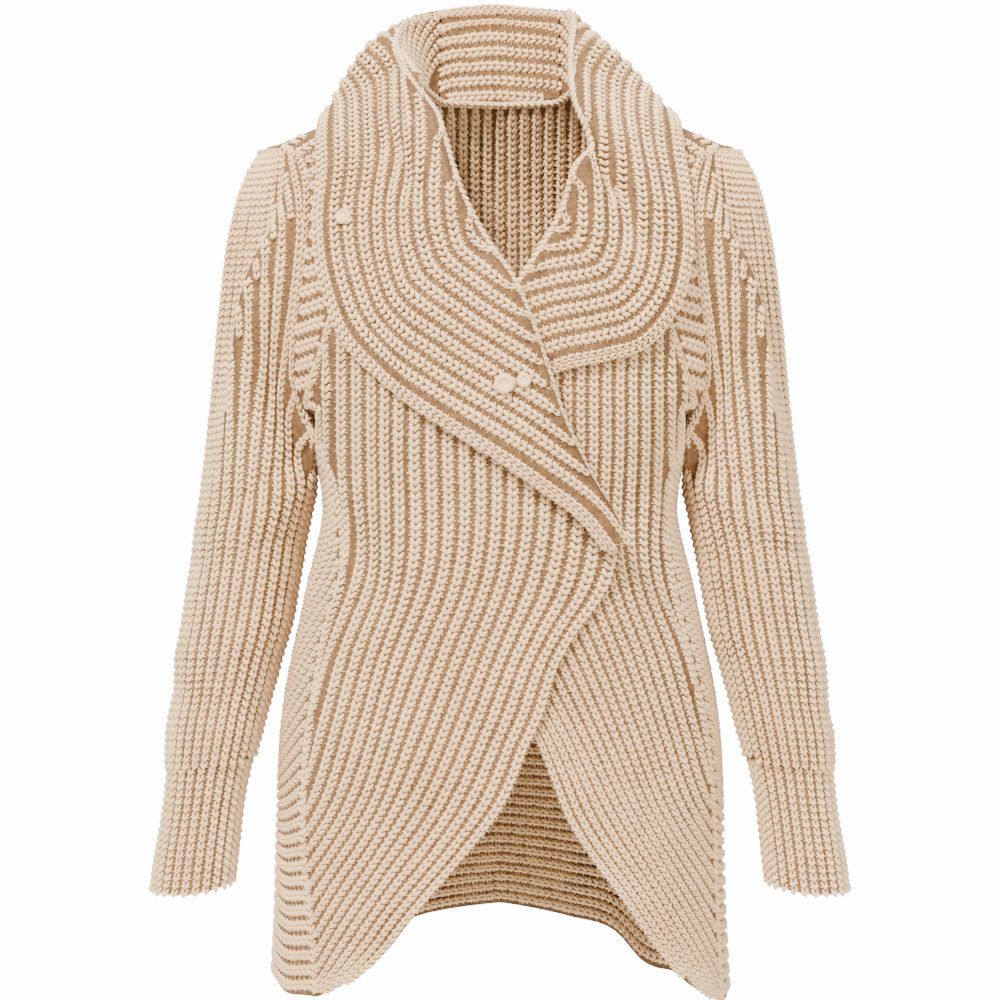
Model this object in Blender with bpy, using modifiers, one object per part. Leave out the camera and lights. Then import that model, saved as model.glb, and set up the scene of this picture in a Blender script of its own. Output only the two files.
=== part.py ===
"""Shawl collar cardigan in chunky rib knit, filled out as worn, with no wearer.

Metres, +Z up. The front faces -Y and the wearer's left is +X. The origin lies midway between
the shoulders, level with the base of the neck, where the shoulders carry the garment.
"""
import math

import bmesh
import bpy
import numpy as np
from mathutils import Matrix, Vector
from mathutils.bvhtree import BVHTree

# Driving sizes
wall = 0.004            # thickness of the rib knit
seamGap = 0.0005        # between two pieces at a seam
shoulderPeak = 0.065    # height at which the two shoulder slopes would meet over the neck
shoulderSlope = 0.424   # drop of the shoulder for each metre away from the neck
shoulderRound = 0.11    # height over which the shoulders round off into the chest
yokeLevel = 0.012       # row at which the shoulder seam lies
levelBelow = -0.085     # rows below this are level
underarm = -0.254       # row where the side pieces start beside the armhole
hemLevel = -0.700       # mean height of the hem
waistRow = 5            # row, counted from the underarm, of the seam across the back
lowerRowCount = 16      # rows from the underarm to the hem
chestRowCount = 6       # rows from the level part down to the underarm
yokeEnd = -0.2258       # row where the yokes run out into the armhole
roundness = 2.35        # squareness of the body's sections, 2 is an ellipse
rollRadius = 0.0065     # radius of the collar's roll
creamWool = (0.86, 0.76, 0.60, 1.0)

# Body sections: height, half width, depth in front, depth behind
bodySections = np.array([
    (0.060, 0.212, 0.066, 0.082),
    (0.000, 0.210, 0.078, 0.092),
    (-0.050, 0.194, 0.092, 0.102),
    (-0.100, 0.184, 0.106, 0.108),
    (-0.150, 0.178, 0.116, 0.108),
    (-0.210, 0.172, 0.120, 0.102),
    (-0.254, 0.153, 0.118, 0.097),
    (-0.300, 0.141, 0.114, 0.094),
    (-0.380, 0.155, 0.113, 0.098),
    (-0.470, 0.173, 0.118, 0.108),
    (-0.550, 0.179, 0.122, 0.114),
    (-0.630, 0.181, 0.124, 0.117),
    (-0.720, 0.186, 0.125, 0.118),
])

# Front edge of the armhole: row, distance from the centre
armholeFront = np.array([
    (0.012, 0.195), (0.004, 0.176), (-0.010, 0.162), (-0.026, 0.157), (-0.090, 0.154),
    (-0.139, 0.160), (-0.172, 0.1645), (-0.205, 0.1650), (-0.2258, 0.1600), (-0.254, 0.146),
])
# Back edge of the armhole: row, distance from the centre
armholeBack = np.array([
    (0.012, 0.195), (0.000, 0.182), (-0.040, 0.168), (-0.090, 0.162), (-0.139, 0.162),
    (-0.190, 0.162), (-0.2258, 0.156), (-0.254, 0.146),
])
# Seam between yoke and front: row, distance from the centre
yokeSeam = np.array([
    (0.012, 0.118), (-0.050, 0.121), (-0.090, 0.125), (-0.139, 0.131), (-0.172, 0.140),
    (-0.205, 0.151), (-0.2258, 0.1575), (-0.254, 0.160),
])
# Mitre lines where the ribs turn round to the side: height, distance from the centre
mitreRight = np.array([
    (-0.254, 0.146), (-0.290, 0.134), (-0.330, 0.128), (-0.370, 0.1285), (-0.400, 0.138),
    (-0.467, 0.151), (-0.506, 0.156), (-0.550, 0.158), (-0.600, 0.156), (-0.640, 0.151),
    (-0.720, 0.147),
])
mitreLeft = np.array([
    (-0.254, 0.146), (-0.290, 0.135), (-0.330, 0.133), (-0.370, 0.139), (-0.4215, 0.151),
    (-0.481, 0.1645), (-0.537, 0.1715), (-0.600, 0.1740), (-0.660, 0.1765), (-0.720, 0.1800),
])
# Hem heights round the body: angle from the centre front in degrees, height
hemRight = np.array([
    (0, -0.6985), (55, -0.6985), (65, -0.6990), (78, -0.690), (90, -0.684), (110, -0.680), (130, -0.677),
    (148, -0.667), (165, -0.652), (180, -0.644),
])
hemLeft = np.array([
    (0, -0.7075), (75, -0.7075), (82, -0.7055), (92, -0.701), (110, -0.698), (130, -0.698),
    (143, -0.690), (151, -0.668), (165, -0.655), (180, -0.644),
])

# Free edge of the right front below its tip: height, reach past the centre (+ is the wearer's left)
rightEdge = np.array([
    (-0.346, 0.0900), (-0.368, 0.0853), (-0.384, 0.0770), (-0.403, 0.0630), (-0.428, 0.0484),
    (-0.475, 0.0328), (-0.495, 0.0238), (-0.544, 0.0033), (-0.578, -0.0221), (-0.610, -0.0492),
    (-0.633, -0.0681), (-0.659, -0.0886), (-0.684, -0.1185), (-0.6985, -0.1450),
])
# Free edge of the left front, the same
leftEdge = np.array([
    (-0.303, -0.0490), (-0.345, -0.0560), (-0.385, -0.0440), (-0.427, -0.0164), (-0.463, 0.0100),
    (-0.490, 0.0270), (-0.518, 0.0385), (-0.555, 0.0525), (-0.585, 0.0713), (-0.6125, 0.0918),
    (-0.643, 0.1123), (-0.6675, 0.1312), (-0.689, 0.1500), (-0.7075, 0.1770),
])

# The two halves of the collar, from the centre back to the tip. The roll is the line of the fold, the
# edge is the free edge. Cling is how closely the fall lies on the body and puff how far it swells.
# The foot lies on the back neck at a distance from the centre, and further on along a row of the front.
# Columns: roll x, y, height; edge x, y, height; cling; puff; foot distance; foot row
rightCollar = np.array([
    (0.0000, 0.078, 0.1130, 0.0000, 0.118, -0.052, 0.0, 0.016, 0.000, 0.012),
    (-0.0490, 0.064, 0.1080, -0.0850, 0.108, -0.048, 0.0, 0.016, 0.049, 0.012),
    (-0.0780, 0.034, 0.0960, -0.1320, 0.062, -0.020, 0.0, 0.017, 0.0635, 0.012),
    (-0.0860, 0.000, 0.0750, -0.1440, 0.006, 0.0145, 0.0, 0.018, 0.068, 0.012),
    (-0.0800, -0.034, 0.0520, -0.1460, -0.040, -0.012, 0.3, 0.018, 0.068, 0.005),
    (-0.0645, -0.058, 0.0270, -0.1485, -0.070, -0.036, 0.7, 0.018, 0.068, -0.006),
    (-0.0475, -0.080, 0.0010, -0.1530, -0.084, -0.070, 1.0, 0.016, 0.068, -0.020),
    (-0.0410, -0.094, -0.0230, -0.1515, -0.088, -0.096, 1.0, 0.014, 0.068, -0.036),
    (-0.0300, -0.110, -0.0610, -0.1470, -0.094, -0.125, 1.0, 0.012, 0.068, -0.063),
    (-0.0115, -0.125, -0.0980, -0.1310, -0.105, -0.169, 1.0, 0.010, 0.068, -0.098),
    (0.0115, -0.136, -0.1320, -0.1060, -0.115, -0.197, 1.0, 0.009, 0.068, -0.132),
    (0.0254, -0.140, -0.1650, -0.0700, -0.125, -0.224, 1.0, 0.008, 0.068, -0.165),
    (0.0360, -0.142, -0.1970, -0.0350, -0.135, -0.248, 1.0, 0.007, 0.068, -0.197),
    (0.0476, -0.142, -0.2345, 0.0000, -0.140, -0.270, 1.0, 0.006, 0.068, -0.2345),
    (0.0615, -0.140, -0.2680, 0.0330, -0.140, -0.293, 1.0, 0.004, 0.068, -0.268),
    (0.0770, -0.136, -0.3040, 0.0640, -0.138, -0.315, 1.0, 0.002, 0.068, -0.304),
    (0.0890, -0.132, -0.3350, 0.0865, -0.134, -0.340, 1.0, 0.000, 0.068, -0.335),
])
leftCollar = np.array([
    (0.0000, 0.078, 0.1130, 0.0000, 0.118, -0.052, 0.0, 0.016, 0.000, 0.012),
    (0.0490, 0.064, 0.1080, 0.0850, 0.108, -0.048, 0.0, 0.016, 0.049, 0.012),
    (0.0600, 0.032, 0.0990, 0.1300, 0.062, -0.020, 0.0, 0.016, 0.0635, 0.012),
    (0.0580, -0.004, 0.0740, 0.1420, 0.006, 0.0145, 0.0, 0.016, 0.068, 0.012),
    (0.0565, -0.034, 0.0460, 0.1450, -0.040, -0.012, 0.3, 0.018, 0.068, 0.005),
    (0.0600, -0.060, 0.0160, 0.1530, -0.070, -0.036, 0.7, 0.018, 0.068, -0.008),
    (0.0690, -0.078, -0.0120, 0.1590, -0.084, -0.066, 1.0, 0.014, 0.068, -0.020),
    (0.0650, -0.088, -0.0350, 0.1605, -0.088, -0.092, 1.0, 0.012, 0.068, -0.037),
    (0.0558, -0.100, -0.0566, 0.1590, -0.094, -0.118, 1.0, 0.012, 0.068, -0.0566),
    (0.0410, -0.115, -0.0877, 0.1490, -0.105, -0.150, 1.0, 0.010, 0.068, -0.0877),
    (0.0230, -0.124, -0.1170, 0.1180, -0.112, -0.179, 1.0, 0.008, 0.068, -0.117),
    (0.0060, -0.126, -0.1420, 0.0840, -0.120, -0.190, 1.0, 0.006, 0.068, -0.142),
    (-0.0060, -0.126, -0.1700, 0.0480, -0.124, -0.198, 1.0, 0.004, 0.068, -0.170),
    (-0.0200, -0.126, -0.2120, 0.0050, -0.126, -0.220, 1.0, 0.003, 0.068, -0.212),
    (-0.0350, -0.124, -0.2580, -0.0240, -0.126, -0.260, 1.0, 0.001, 0.068, -0.258),
    (-0.0465, -0.122, -0.2930, -0.0440, -0.124, -0.297, 1.0, 0.000, 0.068, -0.293),
])
neckStation = 3          # row of the collar tables at the shoulder seam
frontFold = 8            # from this row on the roll springs straight from the front's edge
# Inner edge of the fronts below the shoulder seam, before the roll takes over: row, distance
rightNeck = np.array([(0.012, 0.068), (0.000, 0.0665), (-0.014, 0.0620), (-0.034, 0.0520)])
leftNeck = np.array([(0.012, 0.068), (0.000, 0.0720), (-0.014, 0.0760), (-0.034, 0.0745)])
foldReach = 0.0078       # from the roll's line to the front's edge under it

# Sleeve sections below the cap: height, centre x, centre y, half width, half depth
sleeveSections = np.array([
    (-0.303, 0.1995, 0.004, 0.0468, 0.0590),
    (-0.353, 0.2075, 0.003, 0.0460, 0.0570),
    (-0.402, 0.2155, 0.000, 0.0445, 0.0540),
    (-0.451, 0.2250, -0.005, 0.0415, 0.0495),
    (-0.495, 0.2335, -0.010, 0.0385, 0.0455),
    (-0.514, 0.2365, -0.012, 0.0360, 0.0425),
])
cuffSections = np.array([
    (-0.5145, 0.2365, -0.012, 0.0338, 0.0400),
    (-0.528, 0.2385, -0.014, 0.0328, 0.0385),
    (-0.549, 0.2415, -0.016, 0.0320, 0.0370),
    (-0.582, 0.2462, -0.019, 0.0328, 0.0370),
    (-0.6135, 0.2500, -0.022, 0.0334, 0.0378),
])

# Small yarn buttons on the right lapel: name, x, height, outer radius
buttons = [
    ("button_shoulder", -0.1246, -0.0763, 0.0064),
    ("button_chest", 0.0033, -0.2107, 0.0080),
    ("button_spare", 0.0189, -0.2080, 0.0056),
]
buttonHeight = 0.0030

joinGap = 0.0012         # share of the collar's length left open at each of its two joins
collarPoints = 11        # points across the collar, from its foot to its free edge


def curveAt(table, at, column=1):
    """A smooth curve through one column of a table, read at the heights in `at`."""
    order = np.argsort(table[:, 0])
    xs, ys = table[order, 0], table[order, column]
    slope = np.gradient(ys, xs)
    at = np.clip(np.asarray(at, float), xs[0], xs[-1])
    i = np.clip(np.searchsorted(xs, at, side="right") - 1, 0, len(xs) - 2)
    span = xs[i + 1] - xs[i]
    t = (at - xs[i]) / span
    return (
        ys[i] * (2 * t**3 - 3 * t**2 + 1)
        + slope[i] * span * (t**3 - 2 * t**2 + t)
        + ys[i + 1] * (3 * t**2 - 2 * t**3)
        + slope[i + 1] * span * (t**3 - t**2)
    )


def smoothStep(low, high, value):
    t = np.clip((np.asarray(value, float) - low) / (high - low), 0, 1)
    return t * t * (3 - 2 * t)


def shoulderLine(x):
    return shoulderPeak - shoulderSlope * np.abs(x)


def depthSquared(x, z, behind):
    """The square of the body's depth at a point of the front view; negative outside the outline."""
    half = curveAt(bodySections, z, 1)
    depth = np.where(behind, curveAt(bodySections, z, 3), curveAt(bodySections, z, 2))
    across = 1 - (np.abs(x) / half) ** roundness
    across = np.sign(across) * np.abs(across) ** (2 / roundness)
    drop = np.minimum((shoulderLine(x) - z) / shoulderRound, 1)
    top = 2 * drop - drop * drop
    product = depth**2 * across * top
    return np.where((across < 0) | (top < 0), -np.abs(product), product)


def outward(points, behind=None):
    """Distance off the body, roughly, and the outward direction at each point."""
    x, y, z = points[..., 0], points[..., 1], points[..., 2]
    if behind is None:
        behind = y > 0
    step = 1e-4
    square = depthSquared(x, z, behind)
    slopeX = (depthSquared(x + step, z, behind) - depthSquared(x - step, z, behind)) / (2 * step)
    slopeZ = (depthSquared(x, z + step, behind) - depthSquared(x, z - step, behind)) / (2 * step)
    normal = np.stack([-slopeX, 2 * y, -slopeZ], -1)
    length = np.linalg.norm(normal, axis=-1, keepdims=True) + 1e-12
    return (y * y - square) / length[..., 0], normal / length


def onBody(x, z, behind, lift=0.0):
    """The point of the body over (x, z), moved out by lift, and its outward direction."""
    depth = np.sqrt(np.maximum(depthSquared(x, z, behind), 0))
    y = np.where(behind, depth + seamGap / 2, -depth - seamGap / 2)
    points = np.stack(np.broadcast_arrays(x, y, z), -1)
    normal = outward(points, behind)[1]
    return points + normal * np.asarray(lift)[..., None], normal


def rowHeight(x, row, top):
    """Rows follow the shoulder (or neck) line near the top and are level below the chest."""
    blend = smoothStep(levelBelow, yokeLevel, row)
    return row + (top(x) - yokeLevel) * blend


def backNeck(x):
    """Top of the back: the shoulder line, scooped a little below the collar seam."""
    neck = 0.0265 + 0.0105 * smoothStep(0.045, 0.069, np.abs(x))
    return np.minimum(shoulderLine(x), neck)


def chestRows(fine=1):
    """Rows from the shoulder seam down to the underarm, close together where the shoulder rounds."""
    angles = np.linspace(0, math.pi / 2, 5 * fine + 1)
    top = yokeLevel - (yokeLevel - levelBelow) * (1 - np.cos(angles))
    return np.concatenate([top[:-1], np.linspace(levelBelow, underarm, chestRowCount * fine + 1)])


def lowerRows(fine=1):
    """Level rows from the underarm to the hem, and how far each follows the hem's own line."""
    levels = np.linspace(underarm, hemLevel, lowerRowCount * fine + 1)
    waist = levels[waistRow * fine]
    return levels, np.clip((waist - levels) / (waist - hemLevel), 0, 1) ** 1.4


def collarLift(side, x, z):
    """How far a front lies off the body, so that the right one clears the left one and its lapel."""
    if side > 0:
        return np.zeros(np.broadcast(x, z).shape)
    height = 0.0075 + 0.0050 * smoothStep(-0.38, -0.31, z)
    return height * smoothStep(-0.105, -0.062, x)


def edgeInner(side, row):
    """The x of a front's inner border on a row: its free edge, or the foot of the collar's roll."""
    table = rightCollar if side < 0 else leftCollar
    edge = rightEdge if side < 0 else leftEdge
    neck = (rightNeck if side < 0 else leftNeck) * np.array([1, side])
    foot = table[frontFold:, [2, 0]] + np.array([0, side * foldReach])
    meet = foot[-1, 0]
    return np.where(row > meet, curveAt(np.vstack([neck, foot]), row), curveAt(edge, row))


def xToAngle(x, z):
    """Angle from the centre front of a point at distance x from the centre."""
    share = np.clip(np.abs(x) / curveAt(bodySections, z, 1), 0, 1)
    return np.arcsin(share ** (roundness / 2))


def ringPoint(side, angle, z, lift=0.0):
    """A point of the body's section at this height, by its angle from the centre front."""
    half = curveAt(bodySections, z, 1)
    x = side * half * np.abs(np.sin(angle)) ** (2 / roundness)
    return onBody(x, z, angle > math.pi / 2, np.broadcast_to(lift, np.shape(x)))


def build(name, faces, points, colour=creamWool):
    """A named object from points and faces, with its own wool material."""
    mesh = bpy.data.meshes.new(name)
    mesh.from_pydata([tuple(p) for p in points], [], faces)
    mesh.validate()
    mesh.shade_smooth()
    mesh.set_sharp_from_angle(angle=math.radians(45))
    wool = bpy.data.materials.new(name + "_wool")
    wool.use_nodes = True
    shader = wool.node_tree.nodes["Principled BSDF"]
    shader.inputs["Base Color"].default_value = colour
    shader.inputs["Roughness"].default_value = 0.9
    shader.inputs["Metallic"].default_value = 0.0
    mesh.materials.append(wool)
    made = bpy.data.objects.new(name, mesh)
    cardigan.objects.link(made)
    return made


def wallBetween(name, inner, outer, closed=False):
    """A closed wall between two grids of points; closed=True joins the last column to the first."""
    rows, columns = inner.shape[:2]
    size = rows * columns
    faces = []
    reach = columns if closed else columns - 1
    for r in range(rows - 1):
        for c in range(reach):
            d = (c + 1) % columns
            a, b = r * columns + c, r * columns + d
            e, f = a + columns, b + columns
            faces.append((a, e, f, b))
            faces.append((size + a, size + b, size + f, size + e))
    rim = []
    for c in range(reach):
        d = (c + 1) % columns
        rim.append((c, d))
        rim.append(((rows - 1) * columns + d, (rows - 1) * columns + c))
    if not closed:
        for r in range(rows - 1):
            rim.append(((r + 1) * columns, r * columns))
            rim.append((r * columns + columns - 1, (r + 1) * columns + columns - 1))
    faces += [(a, b, size + b, size + a) for a, b in rim]
    made = build(name, faces, np.vstack([inner.reshape(-1, 3), outer.reshape(-1, 3)]))
    turnOut(made)
    return made


def turnOut(made):
    """Turns the faces of a closed mesh outwards."""
    shape = bmesh.new()
    shape.from_mesh(made.data)
    bmesh.ops.recalc_face_normals(shape, faces=shape.faces)
    if shape.calc_volume(signed=True) < 0:
        bmesh.ops.reverse_faces(shape, faces=shape.faces)
    shape.to_mesh(made.data)
    shape.free()


def gridFaces(grid):
    """The points and faces of a grid."""
    rows, columns = grid.shape[:2]
    faces = [
        (r * columns + c, r * columns + c + 1, (r + 1) * columns + c + 1, (r + 1) * columns + c)
        for r in range(rows - 1) for c in range(columns - 1)
    ]
    return [Vector(p) for p in grid.reshape(-1, 3)], faces


def gridNormals(grid, closed=False):
    """Directions square to a grid of points, from its neighbours."""
    alongRows = np.gradient(grid, axis=0)
    if closed:
        alongColumns = (np.roll(grid, -1, axis=1) - np.roll(grid, 1, axis=1)) / 2
    else:
        alongColumns = np.gradient(grid, axis=1)
    normal = np.cross(alongColumns, alongRows)
    return normal / (np.linalg.norm(normal, axis=-1, keepdims=True) + 1e-12)


def frontRows(fine=1):
    """Rows of a front from the shoulder to the hem."""
    levels, follow = lowerRows(fine)
    upper = chestRows(fine)[:-1]
    return np.concatenate([upper, levels]), np.concatenate([upper * 0, follow])


def frontGrid(side, columns, fine=1):
    rows, follow = frontRows(fine)
    mitre, hem = (mitreRight, hemRight) if side < 0 else (mitreLeft, hemLeft)
    rows = (rows + (hem[0, 1] - hemLevel) * follow)[:, None]
    outer = np.where(rows > yokeEnd - 0.0001, curveAt(yokeSeam, rows), curveAt(mitre, rows)) - seamGap
    inner = side * edgeInner(side, rows)
    x = side * (outer + (inner - outer) * np.linspace(0, 1, columns)[None, :])
    z = rowHeight(x, rows, shoulderLine)
    return onBody(x, z, np.zeros(x.shape, bool), collarLift(side, x, z))


def yokeGrid(side, columns, fine=1):
    rows = chestRows(fine)
    rows = rows[rows > yokeEnd - 0.0001][:, None]
    outer, inner = curveAt(armholeFront, rows), curveAt(yokeSeam, rows) + seamGap
    x = side * (outer + (inner - outer) * np.linspace(0, 1, columns)[None, :])
    z = rowHeight(x, rows, shoulderLine)
    return onBody(x, z, np.zeros(x.shape, bool), collarLift(side, x, z))


def underarmDip(angle):
    """How far a side piece's top sinks, most at the middle of the underarm."""
    return 0.030 * np.sin(np.clip(angle, 0, math.pi)) ** 8


def sideGrid(side, columns, fine=1):
    """A side piece: the first column lies on the front mitre, the last on the back one."""
    levels, follow = lowerRows(fine)
    mitre, hem = (mitreRight, hemRight) if side < 0 else (mitreLeft, hemLeft)
    share = np.linspace(0, 1, columns)[None, :]
    angle = 0.9 + (math.pi - 1.8) * share
    for _ in range(3):
        ends = underarmDip(angle[:1, :1]) * (1 - share) + underarmDip(angle[:1, -1:]) * share
        dip = (underarmDip(angle) - ends) * (1 - smoothStep(0, 0.35, (levels[0] - levels) / 0.446))[:, None]
        bottom = curveAt(hem, np.degrees(angle[-1:]))
        bottom[0, 0] = hem[0, 1]
        z = levels[:, None] - dip + (bottom - hemLevel) * follow[:, None]
        first = xToAngle(curveAt(mitre, z[:, :1]) + seamGap, z[:, :1])
        last = math.pi - xToAngle(curveAt(mitreRight, z[:, -1:]) + seamGap, z[:, -1:])
        angle = first + (last - first) * share
    return ringPoint(side, angle, z)


def backHem(x):
    """Height of the back hem at a distance from the centre."""
    angle = np.degrees(math.pi - xToAngle(x, hemLevel + 0.04))
    return np.where(x < 0, curveAt(hemRight, angle), curveAt(hemLeft, angle))


def seamEndHem(side):
    """Height at which the back mitre meets the hem, the same for the side piece and the back."""
    return sideGrid(side, 3)[0][-1, -1, 2]


def backUpperGrid(columns, fine=1):
    levels = lowerRows(fine)[0][1:waistRow * fine + 1]
    rows = np.concatenate([chestRows(fine), levels])[:, None]
    rows[-1] += seamGap / 2
    half = np.where(rows > underarm + 0.0001, curveAt(armholeBack, rows), curveAt(mitreRight, rows) - seamGap)
    x = half * np.linspace(-1, 1, columns)[None, :]
    z = rowHeight(x, rows, backNeck)
    return onBody(x, z, np.ones(x.shape, bool))


def backLowerGrid(columns, fine=1):
    levels, follow = lowerRows(fine)
    levels, follow = levels[waistRow * fine:, None].copy(), follow[waistRow * fine:, None]
    levels[0] -= seamGap / 2
    share = np.linspace(-1, 1, columns)[None, :]
    z = levels + 0 * share
    for _ in range(3):
        half = curveAt(mitreRight, z) - seamGap
        x = half * share
        bottom = backHem(x[-1:])
        bottom[0, 0], bottom[0, -1] = seamEndHem(-1), seamEndHem(1)
        z = levels + (bottom - hemLevel) * follow
    return onBody(x, z, np.ones(x.shape, bool))


def armholeLoop(side, count):
    """Points round the armhole from the shoulder tip down the front, under the arm and up the back."""
    rows = chestRows(3)
    front = curveAt(armholeFront, rows)
    rear = curveAt(armholeBack, rows)
    frontHeight = rowHeight(front, rows, shoulderLine)
    frontPoint, frontNormal = onBody(side * front, frontHeight, np.zeros(rows.shape, bool))
    rearPoint, rearNormal = onBody(side * rear, rowHeight(rear, rows, backNeck), np.ones(rows.shape, bool))
    turn = xToAngle(0.146, underarm)
    angle = np.linspace(turn, math.pi - turn, 9)[1:-1]
    lowPoint, lowNormal = ringPoint(side, angle, underarm - underarmDip(angle) + underarmDip(turn))
    points = np.vstack([frontPoint, lowPoint, rearPoint[::-1][:-1]])
    normals = np.vstack([frontNormal, lowNormal, rearNormal[::-1][:-1]])
    steps = np.linalg.norm(np.roll(points, -1, axis=0) - points, axis=1)
    length = np.concatenate([[0], np.cumsum(steps)])
    at = np.linspace(0, length[-1], count, endpoint=False)
    loop = np.vstack([points, points[:1]])
    facing = np.vstack([normals, normals[:1]])
    ring = np.stack([np.interp(at, length, loop[:, k]) for k in range(3)], 1)
    out = np.stack([np.interp(at, length, facing[:, k]) for k in range(3)], 1)
    return ring, out / np.linalg.norm(out, axis=1, keepdims=True)


def sleeveRing(side, sections, height, count):
    """An oval ring of the sleeve, starting at its outer side and going round by the front."""
    centreX = curveAt(sections, height, 1)
    centreY = curveAt(sections, height, 2)
    halfWidth = curveAt(sections, height, 3)
    halfDepth = curveAt(sections, height, 4)
    angle = np.linspace(0, 2 * math.pi, count, endpoint=False)
    x = side * (centreX + halfWidth * np.cos(angle))
    y = centreY - halfDepth * np.sin(angle)
    dip = 0.16 * halfDepth * smoothStep(-0.45, -0.60, height)
    z = height - 0.10 * halfWidth * np.cos(angle) - dip * np.sin(angle)
    return np.stack([x, y, np.broadcast_to(z, x.shape)], -1)


def sleeveGrid(side, count, capRows, lowerRows):
    """Rings from the armhole over the cap and down to the cuff."""
    ring, out = armholeLoop(side, count)
    along = np.roll(ring, -1, axis=0) - np.roll(ring, 1, axis=0)
    away = np.cross(out, along)
    away /= np.linalg.norm(away, axis=1, keepdims=True)
    away *= np.sign(np.sum(away * np.array([side, 0, 0.35]), axis=1, keepdims=True))
    below = smoothStep(-0.205, -0.256, ring[:, 2])[:, None]
    start = ring + out * (wall * 0.5 + (wall + 2 * seamGap) * below) + away * 0.0042
    low = sleeveRing(side, sleeveSections, sleeveSections[0, 0], count)
    nextLow = sleeveRing(side, sleeveSections, sleeveSections[0, 0] - 0.01, count)
    down = (nextLow - low) / 0.01
    reach = np.linalg.norm(low - start, axis=1, keepdims=True)
    top = smoothStep(-0.09, -0.01, ring[:, 2])[:, None]
    spread = 0.8 * (1 - top) * (1 - below) + 0.25 * top + 0.18 * below
    leave = away * (1 - 0.9 * below - 0.5 * top) + out * spread
    leave = leave + np.array([0, 0, -1.0]) * (0.35 + 0.4 * top + 0.5 * below)
    leave /= np.linalg.norm(leave, axis=1, keepdims=True)
    reach = reach * (1 - 0.45 * top)
    t = np.linspace(0, 1, capRows)[:, None, None]
    cap = (
        start * (2 * t**3 - 3 * t**2 + 1) + leave * reach * 1.05 * (t**3 - 2 * t**2 + t)
        + low * (3 * t**2 - 2 * t**3) + down * reach * 1.05 * (t**3 - t**2)
    )
    heights = np.linspace(sleeveSections[0, 0], sleeveSections[-1, 0], lowerRows)[1:]
    lower = np.stack([sleeveRing(side, sleeveSections, h, count) for h in heights])
    return np.concatenate([cap, lower])


def makeTube(name, grid):
    """A tube's wall, half to each side of its rings."""
    normal = gridNormals(grid, closed=True)
    middle = grid.mean(axis=1, keepdims=True)
    if np.sum(normal * (grid - middle)) < 0:
        normal = -normal
    wallBetween(name, grid - normal * wall / 2, grid + normal * wall / 2, closed=True)


def wallOff(name, inner, normal):
    """A wall from its inner face outwards."""
    wallBetween(name, inner, inner + normal * wall)


def wallBoth(name, middle):
    """A wall, half to each side of a middle surface."""
    normal = gridNormals(middle)
    wallBetween(name, middle - normal * wall / 2, middle + normal * wall / 2)


def collarRails(side, stations):
    """The table's columns at each station, 0 at the centre back and 1 at the tip."""
    table = rightCollar if side < 0 else leftCollar
    index = np.linspace(0, 1, len(table))
    return [curveAt(np.column_stack([index, table[:, k]]), stations) for k in range(table.shape[1])]


def settle(points, off, cling):
    """Moves points out until they lie off the body by `off`, or onto it where they cling."""
    for _ in range(6):
        distance, normal = outward(points)
        share = np.where(distance < off, 1.0, cling)
        points = points + normal * ((off - distance) * share)[..., None]
    return points


def collarFoot(side, distance, row, index):
    """Where the collar is sewn on: the back neck, then down the inner edge of the front."""
    rearX = side * distance
    rear = onBody(rearX, backNeck(rearX), np.ones(len(index), bool), np.full(len(index), wall / 2))[0]
    frontX = edgeInner(side, row)
    frontZ = rowHeight(frontX, row, shoulderLine)
    lift = collarLift(side, frontX, frontZ) + wall / 2
    frontPoint = onBody(frontX, frontZ, np.zeros(len(index), bool), lift)[0]
    point = np.where(index[:, None] < neckStation, rear, frontPoint)
    beside = smoothStep(neckStation - 1, neckStation + 1.2, index)[:, None]
    ahead = smoothStep(neckStation + 2, frontFold, index)[:, None]
    inwards = np.stack([-side * np.ones(len(index)), 0 * index, 0 * index], -1)
    clear = np.array([0, 0, 1.0]) * (wall / 2 + 0.0024) * (1 - ahead) + inwards * 0.0050 * beside
    return point + clear


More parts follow.
